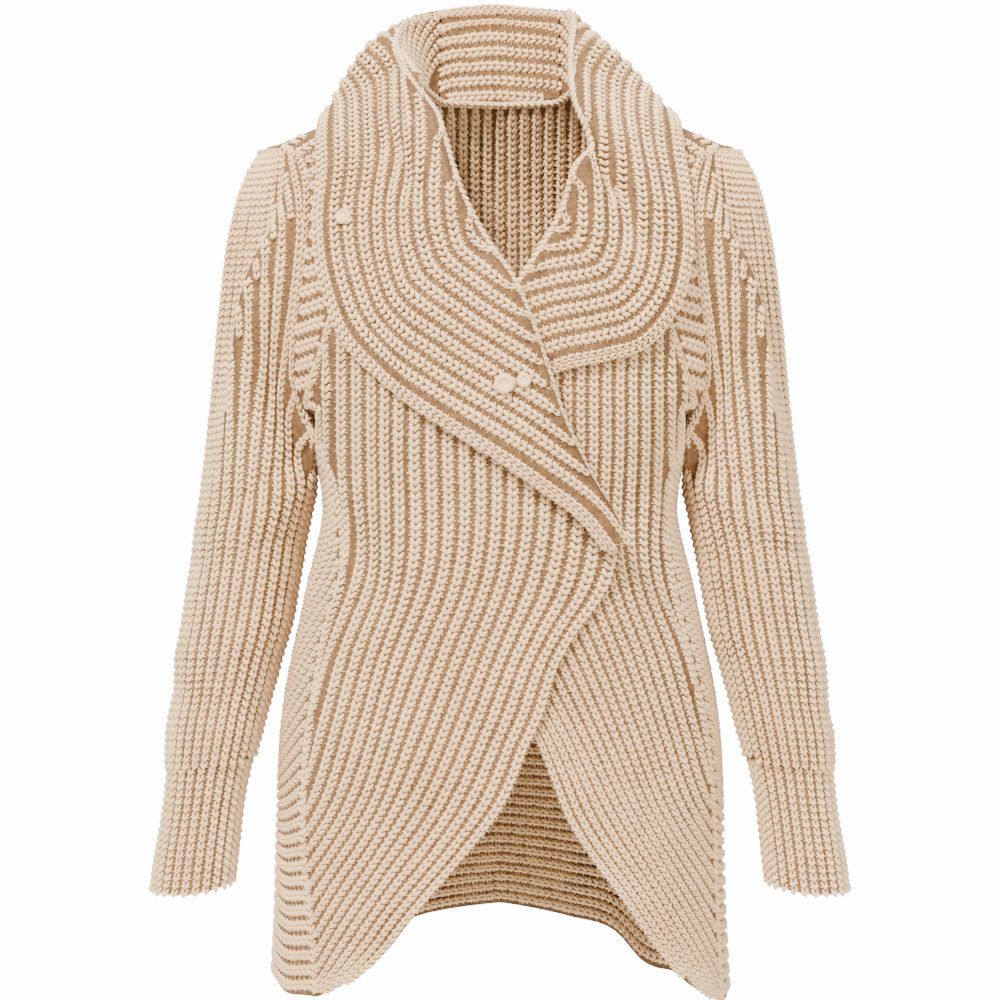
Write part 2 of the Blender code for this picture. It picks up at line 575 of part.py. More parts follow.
def collarGrid(side, stations, count):
    """The collar's middle surface: stations along the neck, count points from the foot to the edge."""
    rail = collarRails(side, stations)
    roll, edge = np.stack(rail[0:3], -1), np.stack(rail[3:6], -1)
    cling, puff, distance, row = np.clip(rail[6], 0, 1), rail[7], rail[8], rail[9]
    index = stations * (len(rightCollar if side < 0 else leftCollar) - 1)
    front = smoothStep(neckStation + 1.5, frontFold - 1, index)[:, None]
    foot = collarFoot(side, distance, row, index)
    # a lapel that passes under the other front is pressed flat
    open_ = np.ones(len(index))
    if side > 0:
        open_ = smoothStep(-0.002, 0.030, roll[:, 0] - curveAt(rightCollar[neckStation:, [2, 0]], roll[:, 2]))
    rise = rollRadius * (0.40 + 0.60 * open_)
    layer = collarLift(side, roll[:, 0] + side * foldReach, roll[:, 2]) + wall / 2
    rollOn = onBody(roll[:, 0], roll[:, 2], np.zeros(len(roll), bool), layer + rise)[0]
    roll = roll * (1 - front) + rollOn * front
    across = edge - roll
    width = np.linalg.norm(across, axis=1)[:, None]
    t = np.linspace(0, 1, count - 3)[1:][None, :]
    fall = roll[:, None, :] + across[:, None, :] * t[..., None]
    lift = outward(fall)[1]
    up = np.array([0, 0, 1.0])
    swell = (puff[:, None] * np.sin(math.pi * t ** 0.75))[..., None]
    fall = fall + (lift * 0.5 + up * 0.5 * (1 - front[:, None])) * swell * (1 - 0.6 * front[:, None])
    overlap = collarLift(side, fall[..., 0], fall[..., 2])
    shut = 0
    if side > 0:
        past = fall[..., 0] - curveAt(rightCollar[neckStation:, [2, 0]], fall[..., 2])
        shut = 1 - smoothStep(0.0, 0.03, past)
    swell = (2 * rise[:, None] - wall - 0.002) * np.exp(-t * width / 0.022) * (1 - shut)
    off = overlap + wall * 1.5 + 0.0026 + swell
    fall = settle(fall, off, cling[:, None] + 0 * t)
    standLow = foot * 0.75 + roll * 0.25
    standMid = foot * 0.40 + roll * 0.60
    return np.concatenate([foot[:, None], standLow[:, None], standMid[:, None], roll[:, None], fall], axis=1)


def makeButton(name, x, height, radius, grid):
    """A ring of wound yarn with a low middle, turned about its own axis and set on the lapel."""
    lapelTree = BVHTree.FromPolygons(*gridFaces(grid + gridNormals(grid) * wall / 2))
    place, axis = lapelTree.ray_cast(Vector((x, -1, height)), Vector((0, 1, 0)))[:2]
    if axis.y > 0:
        axis = -axis
    place = place + axis * 0.0006
    profile = [
        (0.0, 0.55), (0.45, 0.50), (0.62, 0.85), (0.80, 1.0),
        (0.95, 0.80), (1.0, 0.45), (0.92, 0.0), (0.0, 0.0),
    ]
    mesh = bpy.data.meshes.new(name)
    corners = [(r * radius, 0, h * buttonHeight) for r, h in profile]
    mesh.from_pydata(corners, [(i, i + 1) for i in range(len(profile) - 1)], [])
    wool = bpy.data.materials.new(name + "_wool")
    wool.use_nodes = True
    wool.node_tree.nodes["Principled BSDF"].inputs["Base Color"].default_value = creamWool
    wool.node_tree.nodes["Principled BSDF"].inputs["Roughness"].default_value = 0.9
    mesh.materials.append(wool)
    made = bpy.data.objects.new(name, mesh)
    cardigan.objects.link(made)
    turn = made.modifiers.new("turned", "SCREW")
    turn.steps = 14
    turn.render_steps = 14
    turn.use_merge_vertices = True
    turn.merge_threshold = 0.00001
    turn.use_normal_calculate = True
    made.matrix_world = Matrix.Translation(place) @ axis.to_track_quat("Z", "Y").to_matrix().to_4x4()
    return made


for old in list(bpy.data.objects):
    bpy.data.objects.remove(old)
cardigan = bpy.data.collections.new("shawl_collar_cardigan")
bpy.context.scene.collection.children.link(cardigan)

wallOff("back_upper", *backUpperGrid(13))
wallOff("back_lower", *backLowerGrid(13))
for sideName, side in (("right", -1), ("left", 1)):
    wallOff("front_" + sideName, *frontGrid(side, 7))
    wallOff("yoke_" + sideName, *yokeGrid(side, 4))
    wallOff("side_" + sideName, *sideGrid(side, 9))
    makeTube("sleeve_" + sideName, sleeveGrid(side, 18, 6, 6))
    cuffHeights = np.linspace(cuffSections[0, 0] - seamGap, cuffSections[-1, 0], 5)
    makeTube("cuff_" + sideName, np.stack([sleeveRing(side, cuffSections, h, 18) for h in cuffHeights]))

rightRows = len(rightCollar) - 1
leftRows = len(leftCollar) - 1
lapel = collarGrid(-1, np.linspace(1 / rightRows + joinGap, 1, 26), collarPoints)
wallBoth("lapel_right", lapel)
wallBoth("lapel_left", collarGrid(1, np.linspace(1 / leftRows + joinGap, 1, 26), collarPoints))
behindRight = collarGrid(-1, np.linspace(1 / rightRows - joinGap, 0, 4), collarPoints)
behindLeft = collarGrid(1, np.linspace(0, 1 / leftRows - joinGap, 4), collarPoints)
wallBoth("collar_back", np.concatenate([behindRight, behindLeft[1:]]))
for name, x, height, radius in buttons:
    makeButton(name, x, height, radius, lapel)
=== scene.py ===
import math

import bmesh
import bpy
import numpy as np
from mathutils import Matrix, Vector
from mathutils.bvhtree import BVHTree
from mathutils.kdtree import KDTree


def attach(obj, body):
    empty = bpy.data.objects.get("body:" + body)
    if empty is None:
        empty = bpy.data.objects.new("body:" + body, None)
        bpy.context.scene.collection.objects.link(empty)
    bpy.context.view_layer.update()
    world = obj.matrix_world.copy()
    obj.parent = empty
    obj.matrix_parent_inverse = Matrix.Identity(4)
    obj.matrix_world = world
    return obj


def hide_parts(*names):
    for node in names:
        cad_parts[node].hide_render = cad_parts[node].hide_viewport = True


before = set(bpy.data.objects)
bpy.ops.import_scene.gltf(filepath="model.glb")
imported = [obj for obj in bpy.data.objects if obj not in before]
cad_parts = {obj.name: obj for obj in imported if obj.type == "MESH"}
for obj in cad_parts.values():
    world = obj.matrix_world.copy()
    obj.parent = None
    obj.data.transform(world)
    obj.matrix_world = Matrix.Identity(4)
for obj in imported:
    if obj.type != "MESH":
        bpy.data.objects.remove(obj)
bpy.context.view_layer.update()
print("frame loaded")

# Driving sizes
wall = 0.004            # thickness of the rib knit
seamGap = 0.0005        # between two pieces at a seam
shoulderPeak = 0.065    # height at which the two shoulder slopes would meet over the neck
shoulderSlope = 0.424   # drop of the shoulder for each metre away from the neck
shoulderRound = 0.11    # height over which the shoulders round off into the chest
yokeLevel = 0.012       # row at which the shoulder seam lies
levelBelow = -0.085     # rows below this are level
underarm = -0.254       # row where the side pieces start beside the armhole
hemLevel = -0.700       # mean height of the hem
waistRow = 5            # row, counted from the underarm, of the seam across the back
lowerRowCount = 16      # rows from the underarm to the hem
chestRowCount = 6       # rows from the level part down to the underarm
yokeEnd = -0.2258       # row where the yokes run out into the armhole
roundness = 2.35        # squareness of the body's sections, 2 is an ellipse
rollRadius = 0.0065     # radius of the collar's roll

# Body sections: height, half width, depth in front, depth behind
bodySections = np.array([
    (0.060, 0.212, 0.066, 0.082),
    (0.000, 0.210, 0.078, 0.092),
    (-0.050, 0.194, 0.092, 0.102),
    (-0.100, 0.184, 0.106, 0.108),
    (-0.150, 0.178, 0.116, 0.108),
    (-0.210, 0.172, 0.120, 0.102),
    (-0.254, 0.153, 0.118, 0.097),
    (-0.300, 0.141, 0.114, 0.094),
    (-0.380, 0.155, 0.113, 0.098),
    (-0.470, 0.173, 0.118, 0.108),
    (-0.550, 0.179, 0.122, 0.114),
    (-0.630, 0.181, 0.124, 0.117),
    (-0.720, 0.186, 0.125, 0.118),
])

# Front edge of the armhole: row, distance from the centre
armholeFront = np.array([
    (0.012, 0.195), (0.004, 0.176), (-0.010, 0.162), (-0.026, 0.157), (-0.090, 0.154),
    (-0.139, 0.160), (-0.172, 0.1645), (-0.205, 0.1650), (-0.2258, 0.1600), (-0.254, 0.146),
])
# Back edge of the armhole: row, distance from the centre
armholeBack = np.array([
    (0.012, 0.195), (0.000, 0.182), (-0.040, 0.168), (-0.090, 0.162), (-0.139, 0.162),
    (-0.190, 0.162), (-0.2258, 0.156), (-0.254, 0.146),
])
# Seam between yoke and front: row, distance from the centre
yokeSeam = np.array([
    (0.012, 0.118), (-0.050, 0.121), (-0.090, 0.125), (-0.139, 0.131), (-0.172, 0.140),
    (-0.205, 0.151), (-0.2258, 0.1575), (-0.254, 0.160),
])
# Mitre lines where the ribs turn round to the side: height, distance from the centre
mitreRight = np.array([
    (-0.254, 0.146), (-0.290, 0.134), (-0.330, 0.128), (-0.370, 0.1285), (-0.400, 0.138),
    (-0.467, 0.151), (-0.506, 0.156), (-0.550, 0.158), (-0.600, 0.156), (-0.640, 0.151),
    (-0.720, 0.147),
])
mitreLeft = np.array([
    (-0.254, 0.146), (-0.290, 0.135), (-0.330, 0.133), (-0.370, 0.139), (-0.4215, 0.151),
    (-0.481, 0.1645), (-0.537, 0.1715), (-0.600, 0.1740), (-0.660, 0.1765), (-0.720, 0.1800),
])
# Hem heights round the body: angle from the centre front in degrees, height
hemRight = np.array([
    (0, -0.6985), (55, -0.6985), (65, -0.6990), (78, -0.690), (90, -0.684), (110, -0.680), (130, -0.677),
    (148, -0.667), (165, -0.652), (180, -0.644),
])
hemLeft = np.array([
    (0, -0.7075), (75, -0.7075), (82, -0.7055), (92, -0.701), (110, -0.698), (130, -0.698),
    (143, -0.690), (151, -0.668), (165, -0.655), (180, -0.644),
])

# Free edge of the right front below its tip: height, reach past the centre (+ is the wearer's left)
rightEdge = np.array([
    (-0.346, 0.0900), (-0.368, 0.0853), (-0.384, 0.0770), (-0.403, 0.0630), (-0.428, 0.0484),
    (-0.475, 0.0328), (-0.495, 0.0238), (-0.544, 0.0033), (-0.578, -0.0221), (-0.610, -0.0492),
    (-0.633, -0.0681), (-0.659, -0.0886), (-0.684, -0.1185), (-0.6985, -0.1450),
])
# Free edge of the left front, the same
leftEdge = np.array([
    (-0.303, -0.0490), (-0.345, -0.0560), (-0.385, -0.0440), (-0.427, -0.0164), (-0.463, 0.0100),
    (-0.490, 0.0270), (-0.518, 0.0385), (-0.555, 0.0525), (-0.585, 0.0713), (-0.6125, 0.0918),
    (-0.643, 0.1123), (-0.6675, 0.1312), (-0.689, 0.1500), (-0.7075, 0.1770),
])

# The two halves of the collar, from the centre back to the tip. The roll is the line of the fold, the
# edge is the free edge. Cling is how closely the fall lies on the body and puff how far it swells.
# The foot lies on the back neck at a distance from the centre, and further on along a row of the front.
# Columns: roll x, y, height; edge x, y, height; cling; puff; foot distance; foot row
rightCollar = np.array([
    (0.0000, 0.078, 0.1130, 0.0000, 0.118, -0.052, 0.0, 0.016, 0.000, 0.012),
    (-0.0490, 0.064, 0.1080, -0.0850, 0.108, -0.048, 0.0, 0.016, 0.049, 0.012),
    (-0.0780, 0.034, 0.0960, -0.1320, 0.062, -0.020, 0.0, 0.017, 0.0635, 0.012),
    (-0.0860, 0.000, 0.0750, -0.1440, 0.006, 0.0145, 0.0, 0.018, 0.068, 0.012),
    (-0.0800, -0.034, 0.0520, -0.1460, -0.040, -0.012, 0.3, 0.018, 0.068, 0.005),
    (-0.0645, -0.058, 0.0270, -0.1485, -0.070, -0.036, 0.7, 0.018, 0.068, -0.006),
    (-0.0475, -0.080, 0.0010, -0.1530, -0.084, -0.070, 1.0, 0.016, 0.068, -0.020),
    (-0.0410, -0.094, -0.0230, -0.1515, -0.088, -0.096, 1.0, 0.014, 0.068, -0.036),
    (-0.0300, -0.110, -0.0610, -0.1470, -0.094, -0.125, 1.0, 0.012, 0.068, -0.063),
    (-0.0115, -0.125, -0.0980, -0.1310, -0.105, -0.169, 1.0, 0.010, 0.068, -0.098),
    (0.0115, -0.136, -0.1320, -0.1060, -0.115, -0.197, 1.0, 0.009, 0.068, -0.132),
    (0.0254, -0.140, -0.1650, -0.0700, -0.125, -0.224, 1.0, 0.008, 0.068, -0.165),
    (0.0360, -0.142, -0.1970, -0.0350, -0.135, -0.248, 1.0, 0.007, 0.068, -0.197),
    (0.0476, -0.142, -0.2345, 0.0000, -0.140, -0.270, 1.0, 0.006, 0.068, -0.2345),
    (0.0615, -0.140, -0.2680, 0.0330, -0.140, -0.293, 1.0, 0.004, 0.068, -0.268),
    (0.0770, -0.136, -0.3040, 0.0640, -0.138, -0.315, 1.0, 0.002, 0.068, -0.304),
    (0.0890, -0.132, -0.3350, 0.0865, -0.134, -0.340, 1.0, 0.000, 0.068, -0.335),
])
leftCollar = np.array([
    (0.0000, 0.078, 0.1130, 0.0000, 0.118, -0.052, 0.0, 0.016, 0.000, 0.012),
    (0.0490, 0.064, 0.1080, 0.0850, 0.108, -0.048, 0.0, 0.016, 0.049, 0.012),
    (0.0600, 0.032, 0.0990, 0.1300, 0.062, -0.020, 0.0, 0.016, 0.0635, 0.012),
    (0.0580, -0.004, 0.0740, 0.1420, 0.006, 0.0145, 0.0, 0.016, 0.068, 0.012),
    (0.0565, -0.034, 0.0460, 0.1450, -0.040, -0.012, 0.3, 0.018, 0.068, 0.005),
    (0.0600, -0.060, 0.0160, 0.1530, -0.070, -0.036, 0.7, 0.018, 0.068, -0.008),
    (0.0690, -0.078, -0.0120, 0.1590, -0.084, -0.066, 1.0, 0.014, 0.068, -0.020),
    (0.0650, -0.088, -0.0350, 0.1605, -0.088, -0.092, 1.0, 0.012, 0.068, -0.037),
    (0.0558, -0.100, -0.0566, 0.1590, -0.094, -0.118, 1.0, 0.012, 0.068, -0.0566),
    (0.0410, -0.115, -0.0877, 0.1490, -0.105, -0.150, 1.0, 0.010, 0.068, -0.0877),
    (0.0230, -0.124, -0.1170, 0.1180, -0.112, -0.179, 1.0, 0.008, 0.068, -0.117),
    (0.0060, -0.126, -0.1420, 0.0840, -0.120, -0.190, 1.0, 0.006, 0.068, -0.142),
    (-0.0060, -0.126, -0.1700, 0.0480, -0.124, -0.198, 1.0, 0.004, 0.068, -0.170),
    (-0.0200, -0.126, -0.2120, 0.0050, -0.126, -0.220, 1.0, 0.003, 0.068, -0.212),
    (-0.0350, -0.124, -0.2580, -0.0240, -0.126, -0.260, 1.0, 0.001, 0.068, -0.258),
    (-0.0465, -0.122, -0.2930, -0.0440, -0.124, -0.297, 1.0, 0.000, 0.068, -0.293),
])
joinGap = 0.0012         # share of the collar's length left open at each of its two joins
neckStation = 3          # row of the collar tables at the shoulder seam
frontFold = 8            # from this row on the roll springs straight from the front's edge
# Inner edge of the fronts below the shoulder seam, before the roll takes over: row, distance
rightNeck = np.array([(0.012, 0.068), (0.000, 0.0665), (-0.014, 0.0620), (-0.034, 0.0520)])
leftNeck = np.array([(0.012, 0.068), (0.000, 0.0720), (-0.014, 0.0760), (-0.034, 0.0745)])
foldReach = 0.0078       # from the roll's line to the front's edge under it

# Sleeve sections below the cap: height, centre x, centre y, half width, half depth
sleeveSections = np.array([
    (-0.303, 0.1995, 0.004, 0.0468, 0.0590),
    (-0.353, 0.2075, 0.003, 0.0460, 0.0570),
    (-0.402, 0.2155, 0.000, 0.0445, 0.0540),
    (-0.451, 0.2250, -0.005, 0.0415, 0.0495),
    (-0.495, 0.2335, -0.010, 0.0385, 0.0455),
    (-0.514, 0.2365, -0.012, 0.0360, 0.0425),
])
cuffSections = np.array([
    (-0.5145, 0.2365, -0.012, 0.0338, 0.0400),
    (-0.528, 0.2385, -0.014, 0.0328, 0.0385),
    (-0.549, 0.2415, -0.016, 0.0320, 0.0370),
    (-0.582, 0.2462, -0.019, 0.0328, 0.0370),
    (-0.6135, 0.2500, -0.022, 0.0334, 0.0378),
])


def curveAt(table, at, column=1):
    order = np.argsort(table[:, 0])
    xs, ys = table[order, 0], table[order, column]
    slope = np.gradient(ys, xs)
    at = np.clip(np.asarray(at, float), xs[0], xs[-1])
    i = np.clip(np.searchsorted(xs, at, side="right") - 1, 0, len(xs) - 2)
    span = xs[i + 1] - xs[i]
    t = (at - xs[i]) / span
    return (
        ys[i] * (2 * t**3 - 3 * t**2 + 1)
        + slope[i] * span * (t**3 - 2 * t**2 + t)
        + ys[i + 1] * (3 * t**2 - 2 * t**3)
        + slope[i + 1] * span * (t**3 - t**2)
    )


def smoothStep(low, high, value):
    t = np.clip((np.asarray(value, float) - low) / (high - low), 0, 1)
    return t * t * (3 - 2 * t)


def shoulderLine(x):
    return shoulderPeak - shoulderSlope * np.abs(x)


def depthSquared(x, z, behind):
    half = curveAt(bodySections, z, 1)
    depth = np.where(behind, curveAt(bodySections, z, 3), curveAt(bodySections, z, 2))
    across = 1 - (np.abs(x) / half) ** roundness
    across = np.sign(across) * np.abs(across) ** (2 / roundness)
    drop = np.minimum((shoulderLine(x) - z) / shoulderRound, 1)
    top = 2 * drop - drop * drop
    product = depth**2 * across * top
    return np.where((across < 0) | (top < 0), -np.abs(product), product)


def outward(points, behind=None):
    x, y, z = points[..., 0], points[..., 1], points[..., 2]
    if behind is None:
        behind = y > 0
    step = 1e-4
    square = depthSquared(x, z, behind)
    slopeX = (depthSquared(x + step, z, behind) - depthSquared(x - step, z, behind)) / (2 * step)
    slopeZ = (depthSquared(x, z + step, behind) - depthSquared(x, z - step, behind)) / (2 * step)
    normal = np.stack([-slopeX, 2 * y, -slopeZ], -1)
    length = np.linalg.norm(normal, axis=-1, keepdims=True) + 1e-12
    return (y * y - square) / length[..., 0], normal / length


def onBody(x, z, behind, lift=0.0):
    depth = np.sqrt(np.maximum(depthSquared(x, z, behind), 0))
    y = np.where(behind, depth + seamGap / 2, -depth - seamGap / 2)
    points = np.stack(np.broadcast_arrays(x, y, z), -1)
    normal = outward(points, behind)[1]
    return points + normal * np.asarray(lift)[..., None], normal


def rowHeight(x, row, top):
    blend = smoothStep(levelBelow, yokeLevel, row)
    return row + (top(x) - yokeLevel) * blend


def backNeck(x):
    neck = 0.0265 + 0.0105 * smoothStep(0.045, 0.069, np.abs(x))
    return np.minimum(shoulderLine(x), neck)


def chestRows(fine=1):
    angles = np.linspace(0, math.pi / 2, 5 * fine + 1)
    top = yokeLevel - (yokeLevel - levelBelow) * (1 - np.cos(angles))
    return np.concatenate([top[:-1], np.linspace(levelBelow, underarm, chestRowCount * fine + 1)])


def lowerRows(fine=1):
    levels = np.linspace(underarm, hemLevel, lowerRowCount * fine + 1)
    waist = levels[waistRow * fine]
    return levels, np.clip((waist - levels) / (waist - hemLevel), 0, 1) ** 1.4


def collarLift(side, x, z):
    if side > 0:
        return np.zeros(np.broadcast(x, z).shape)
    height = 0.0075 + 0.0050 * smoothStep(-0.38, -0.31, z)
    return height * smoothStep(-0.105, -0.062, x)


def edgeInner(side, row):
    table = rightCollar if side < 0 else leftCollar
    edge = rightEdge if side < 0 else leftEdge
    neck = (rightNeck if side < 0 else leftNeck) * np.array([1, side])
    foot = table[frontFold:, [2, 0]] + np.array([0, side * foldReach])
    meet = foot[-1, 0]
    return np.where(row > meet, curveAt(np.vstack([neck, foot]), row), curveAt(edge, row))


def xToAngle(x, z):
    share = np.clip(np.abs(x) / curveAt(bodySections, z, 1), 0, 1)
    return np.arcsin(share ** (roundness / 2))


def ringPoint(side, angle, z, lift=0.0):
    half = curveAt(bodySections, z, 1)
    x = side * half * np.abs(np.sin(angle)) ** (2 / roundness)
    return onBody(x, z, angle > math.pi / 2, np.broadcast_to(lift, np.shape(x)))


def gridNormals(grid, closed=False):
    alongRows = np.gradient(grid, axis=0)
    if closed:
        alongColumns = (np.roll(grid, -1, axis=1) - np.roll(grid, 1, axis=1)) / 2
    else:
        alongColumns = np.gradient(grid, axis=1)
    normal = np.cross(alongColumns, alongRows)
    return normal / (np.linalg.norm(normal, axis=-1, keepdims=True) + 1e-12)


def frontRows(fine=1):
    levels, follow = lowerRows(fine)
    upper = chestRows(fine)[:-1]
    return np.concatenate([upper, levels]), np.concatenate([upper * 0, follow])


def frontGrid(side, columns, fine=1):
    rows, follow = frontRows(fine)
    mitre, hem = (mitreRight, hemRight) if side < 0 else (mitreLeft, hemLeft)
    rows = (rows + (hem[0, 1] - hemLevel) * follow)[:, None]
    outer = np.where(rows > yokeEnd - 0.0001, curveAt(yokeSeam, rows), curveAt(mitre, rows)) - seamGap
    inner = side * edgeInner(side, rows)
    x = side * (outer + (inner - outer) * np.linspace(0, 1, columns)[None, :])
    z = rowHeight(x, rows, shoulderLine)
    return onBody(x, z, np.zeros(x.shape, bool), collarLift(side, x, z))


def yokeGrid(side, columns, fine=1):
    rows = chestRows(fine)
    rows = rows[rows > yokeEnd - 0.0001][:, None]
    outer, inner = curveAt(armholeFront, rows), curveAt(yokeSeam, rows) + seamGap
    x = side * (outer + (inner - outer) * np.linspace(0, 1, columns)[None, :])
    z = rowHeight(x, rows, shoulderLine)
    return onBody(x, z, np.zeros(x.shape, bool), collarLift(side, x, z))


def underarmDip(angle):
    return 0.030 * np.sin(np.clip(angle, 0, math.pi)) ** 8


def sideGrid(side, columns, fine=1):
    levels, follow = lowerRows(fine)
    mitre, hem = (mitreRight, hemRight) if side < 0 else (mitreLeft, hemLeft)
    share = np.linspace(0, 1, columns)[None, :]
    angle = 0.9 + (math.pi - 1.8) * share
    for _ in range(3):
        ends = underarmDip(angle[:1, :1]) * (1 - share) + underarmDip(angle[:1, -1:]) * share
        dip = (underarmDip(angle) - ends) * (1 - smoothStep(0, 0.35, (levels[0] - levels) / 0.446))[:, None]
        bottom = curveAt(hem, np.degrees(angle[-1:]))
        bottom[0, 0] = hem[0, 1]
        z = levels[:, None] - dip + (bottom - hemLevel) * follow[:, None]
        first = xToAngle(curveAt(mitre, z[:, :1]) + seamGap, z[:, :1])
        last = math.pi - xToAngle(curveAt(mitreRight, z[:, -1:]) + seamGap, z[:, -1:])
        angle = first + (last - first) * share
    return ringPoint(side, angle, z)


def backHem(x):
    angle = np.degrees(math.pi - xToAngle(x, hemLevel + 0.04))
    return np.where(x < 0, curveAt(hemRight, angle), curveAt(hemLeft, angle))


def seamEndHem(side):
    return sideGrid(side, 3)[0][-1, -1, 2]


def backUpperGrid(columns, fine=1):
    levels = lowerRows(fine)[0][1:waistRow * fine + 1]
    rows = np.concatenate([chestRows(fine), levels])[:, None]
    rows[-1] += seamGap / 2
    half = np.where(rows > underarm + 0.0001, curveAt(armholeBack, rows), curveAt(mitreRight, rows) - seamGap)
    x = half * np.linspace(-1, 1, columns)[None, :]
    z = rowHeight(x, rows, backNeck)
    return onBody(x, z, np.ones(x.shape, bool))


def backLowerGrid(columns, fine=1):
    levels, follow = lowerRows(fine)
    levels, follow = levels[waistRow * fine:, None].copy(), follow[waistRow * fine:, None]
    levels[0] -= seamGap / 2
    share = np.linspace(-1, 1, columns)[None, :]
    z = levels + 0 * share
    for _ in range(3):
        half = curveAt(mitreRight, z) - seamGap
        x = half * share
        bottom = backHem(x[-1:])
        bottom[0, 0], bottom[0, -1] = seamEndHem(-1), seamEndHem(1)
        z = levels + (bottom - hemLevel) * follow
    return onBody(x, z, np.ones(x.shape, bool))


def armholeLoop(side, count):
    rows = chestRows(3)
    front = curveAt(armholeFront, rows)
    rear = curveAt(armholeBack, rows)
    frontHeight = rowHeight(front, rows, shoulderLine)
    frontPoint, frontNormal = onBody(side * front, frontHeight, np.zeros(rows.shape, bool))
    rearPoint, rearNormal = onBody(side * rear, rowHeight(rear, rows, backNeck), np.ones(rows.shape, bool))
    turn = xToAngle(0.146, underarm)
    angle = np.linspace(turn, math.pi - turn, 9)[1:-1]
    lowPoint, lowNormal = ringPoint(side, angle, underarm - underarmDip(angle) + underarmDip(turn))
    points = np.vstack([frontPoint, lowPoint, rearPoint[::-1][:-1]])
    normals = np.vstack([frontNormal, lowNormal, rearNormal[::-1][:-1]])
    steps = np.linalg.norm(np.roll(points, -1, axis=0) - points, axis=1)
    length = np.concatenate([[0], np.cumsum(steps)])
    at = np.linspace(0, length[-1], count, endpoint=False)
    loop = np.vstack([points, points[:1]])
    facing = np.vstack([normals, normals[:1]])
    ring = np.stack([np.interp(at, length, loop[:, k]) for k in range(3)], 1)
    out = np.stack([np.interp(at, length, facing[:, k]) for k in range(3)], 1)
    return ring, out / np.linalg.norm(out, axis=1, keepdims=True)


def sleeveRing(side, sections, height, count):
    centreX = curveAt(sections, height, 1)
    centreY = curveAt(sections, height, 2)
    halfWidth = curveAt(sections, height, 3)
    halfDepth = curveAt(sections, height, 4)
    angle = np.linspace(0, 2 * math.pi, count, endpoint=False)
    x = side * (centreX + halfWidth * np.cos(angle))
    y = centreY - halfDepth * np.sin(angle)
    dip = 0.16 * halfDepth * smoothStep(-0.45, -0.60, height)
    z = height - 0.10 * halfWidth * np.cos(angle) - dip * np.sin(angle)
    return np.stack([x, y, np.broadcast_to(z, x.shape)], -1)


def sleeveGrid(side, count, capRows, lowerRows):
    ring, out = armholeLoop(side, count)
    along = np.roll(ring, -1, axis=0) - np.roll(ring, 1, axis=0)
    away = np.cross(out, along)
    away /= np.linalg.norm(away, axis=1, keepdims=True)
    away *= np.sign(np.sum(away * np.array([side, 0, 0.35]), axis=1, keepdims=True))
    below = smoothStep(-0.205, -0.256, ring[:, 2])[:, None]
    start = ring + out * (wall * 0.5 + 0.0006 * below) + away * 0.0004
    low = sleeveRing(side, sleeveSections, sleeveSections[0, 0], count)
    nextLow = sleeveRing(side, sleeveSections, sleeveSections[0, 0] - 0.01, count)
    down = (nextLow - low) / 0.01
    reach = np.linalg.norm(low - start, axis=1, keepdims=True)
    top = smoothStep(-0.09, -0.01, ring[:, 2])[:, None]
    spread = 0.8 * (1 - top) * (1 - below) + 0.25 * top + 0.18 * below
    leave = away * (1 - 0.9 * below - 0.5 * top) + out * spread
    leave = leave + np.array([0, 0, -1.0]) * (0.35 + 0.4 * top + 0.5 * below)
    leave /= np.linalg.norm(leave, axis=1, keepdims=True)
    reach = reach * (1 - 0.45 * top)
    t = np.linspace(0, 1, capRows)[:, None, None]
    cap = (
        start * (2 * t**3 - 3 * t**2 + 1) + leave * reach * 1.05 * (t**3 - 2 * t**2 + t)
        + low * (3 * t**2 - 2 * t**3) + down * reach * 1.05 * (t**3 - t**2)
    )
    heights = np.linspace(sleeveSections[0, 0], sleeveSections[-1, 0], lowerRows)[1:]
    lower = np.stack([sleeveRing(side, sleeveSections, h, count) for h in heights])
    return np.concatenate([cap, lower])


def collarRails(side, stations):
    table = rightCollar if side < 0 else leftCollar
    index = np.linspace(0, 1, len(table))
    return [curveAt(np.column_stack([index, table[:, k]]), stations) for k in range(table.shape[1])]


def settle(points, off, cling):
    for _ in range(6):
        distance, normal = outward(points)
        share = np.where(distance < off, 1.0, cling)
        points = points + normal * ((off - distance) * share)[..., None]
    return points


def collarFoot(side, distance, row, index):
    rearX = side * distance
    rear = onBody(rearX, backNeck(rearX), np.ones(len(index), bool), np.full(len(index), wall / 2))[0]
    frontX = edgeInner(side, row)
    frontZ = rowHeight(frontX, row, shoulderLine)
    lift = collarLift(side, frontX, frontZ) + wall / 2
    frontPoint = onBody(frontX, frontZ, np.zeros(len(index), bool), lift)[0]
    point = np.where(index[:, None] < neckStation, rear, frontPoint)
    beside = smoothStep(neckStation - 1, neckStation + 1.2, index)[:, None]
    ahead = smoothStep(neckStation + 2, frontFold, index)[:, None]
    inwards = np.stack([-side * np.ones(len(index)), 0 * index, 0 * index], -1)
    clear = np.array([0, 0, 1.0]) * (wall / 2 + 0.0024) * (1 - ahead) + inwards * 0.0050 * beside
    return point + clear


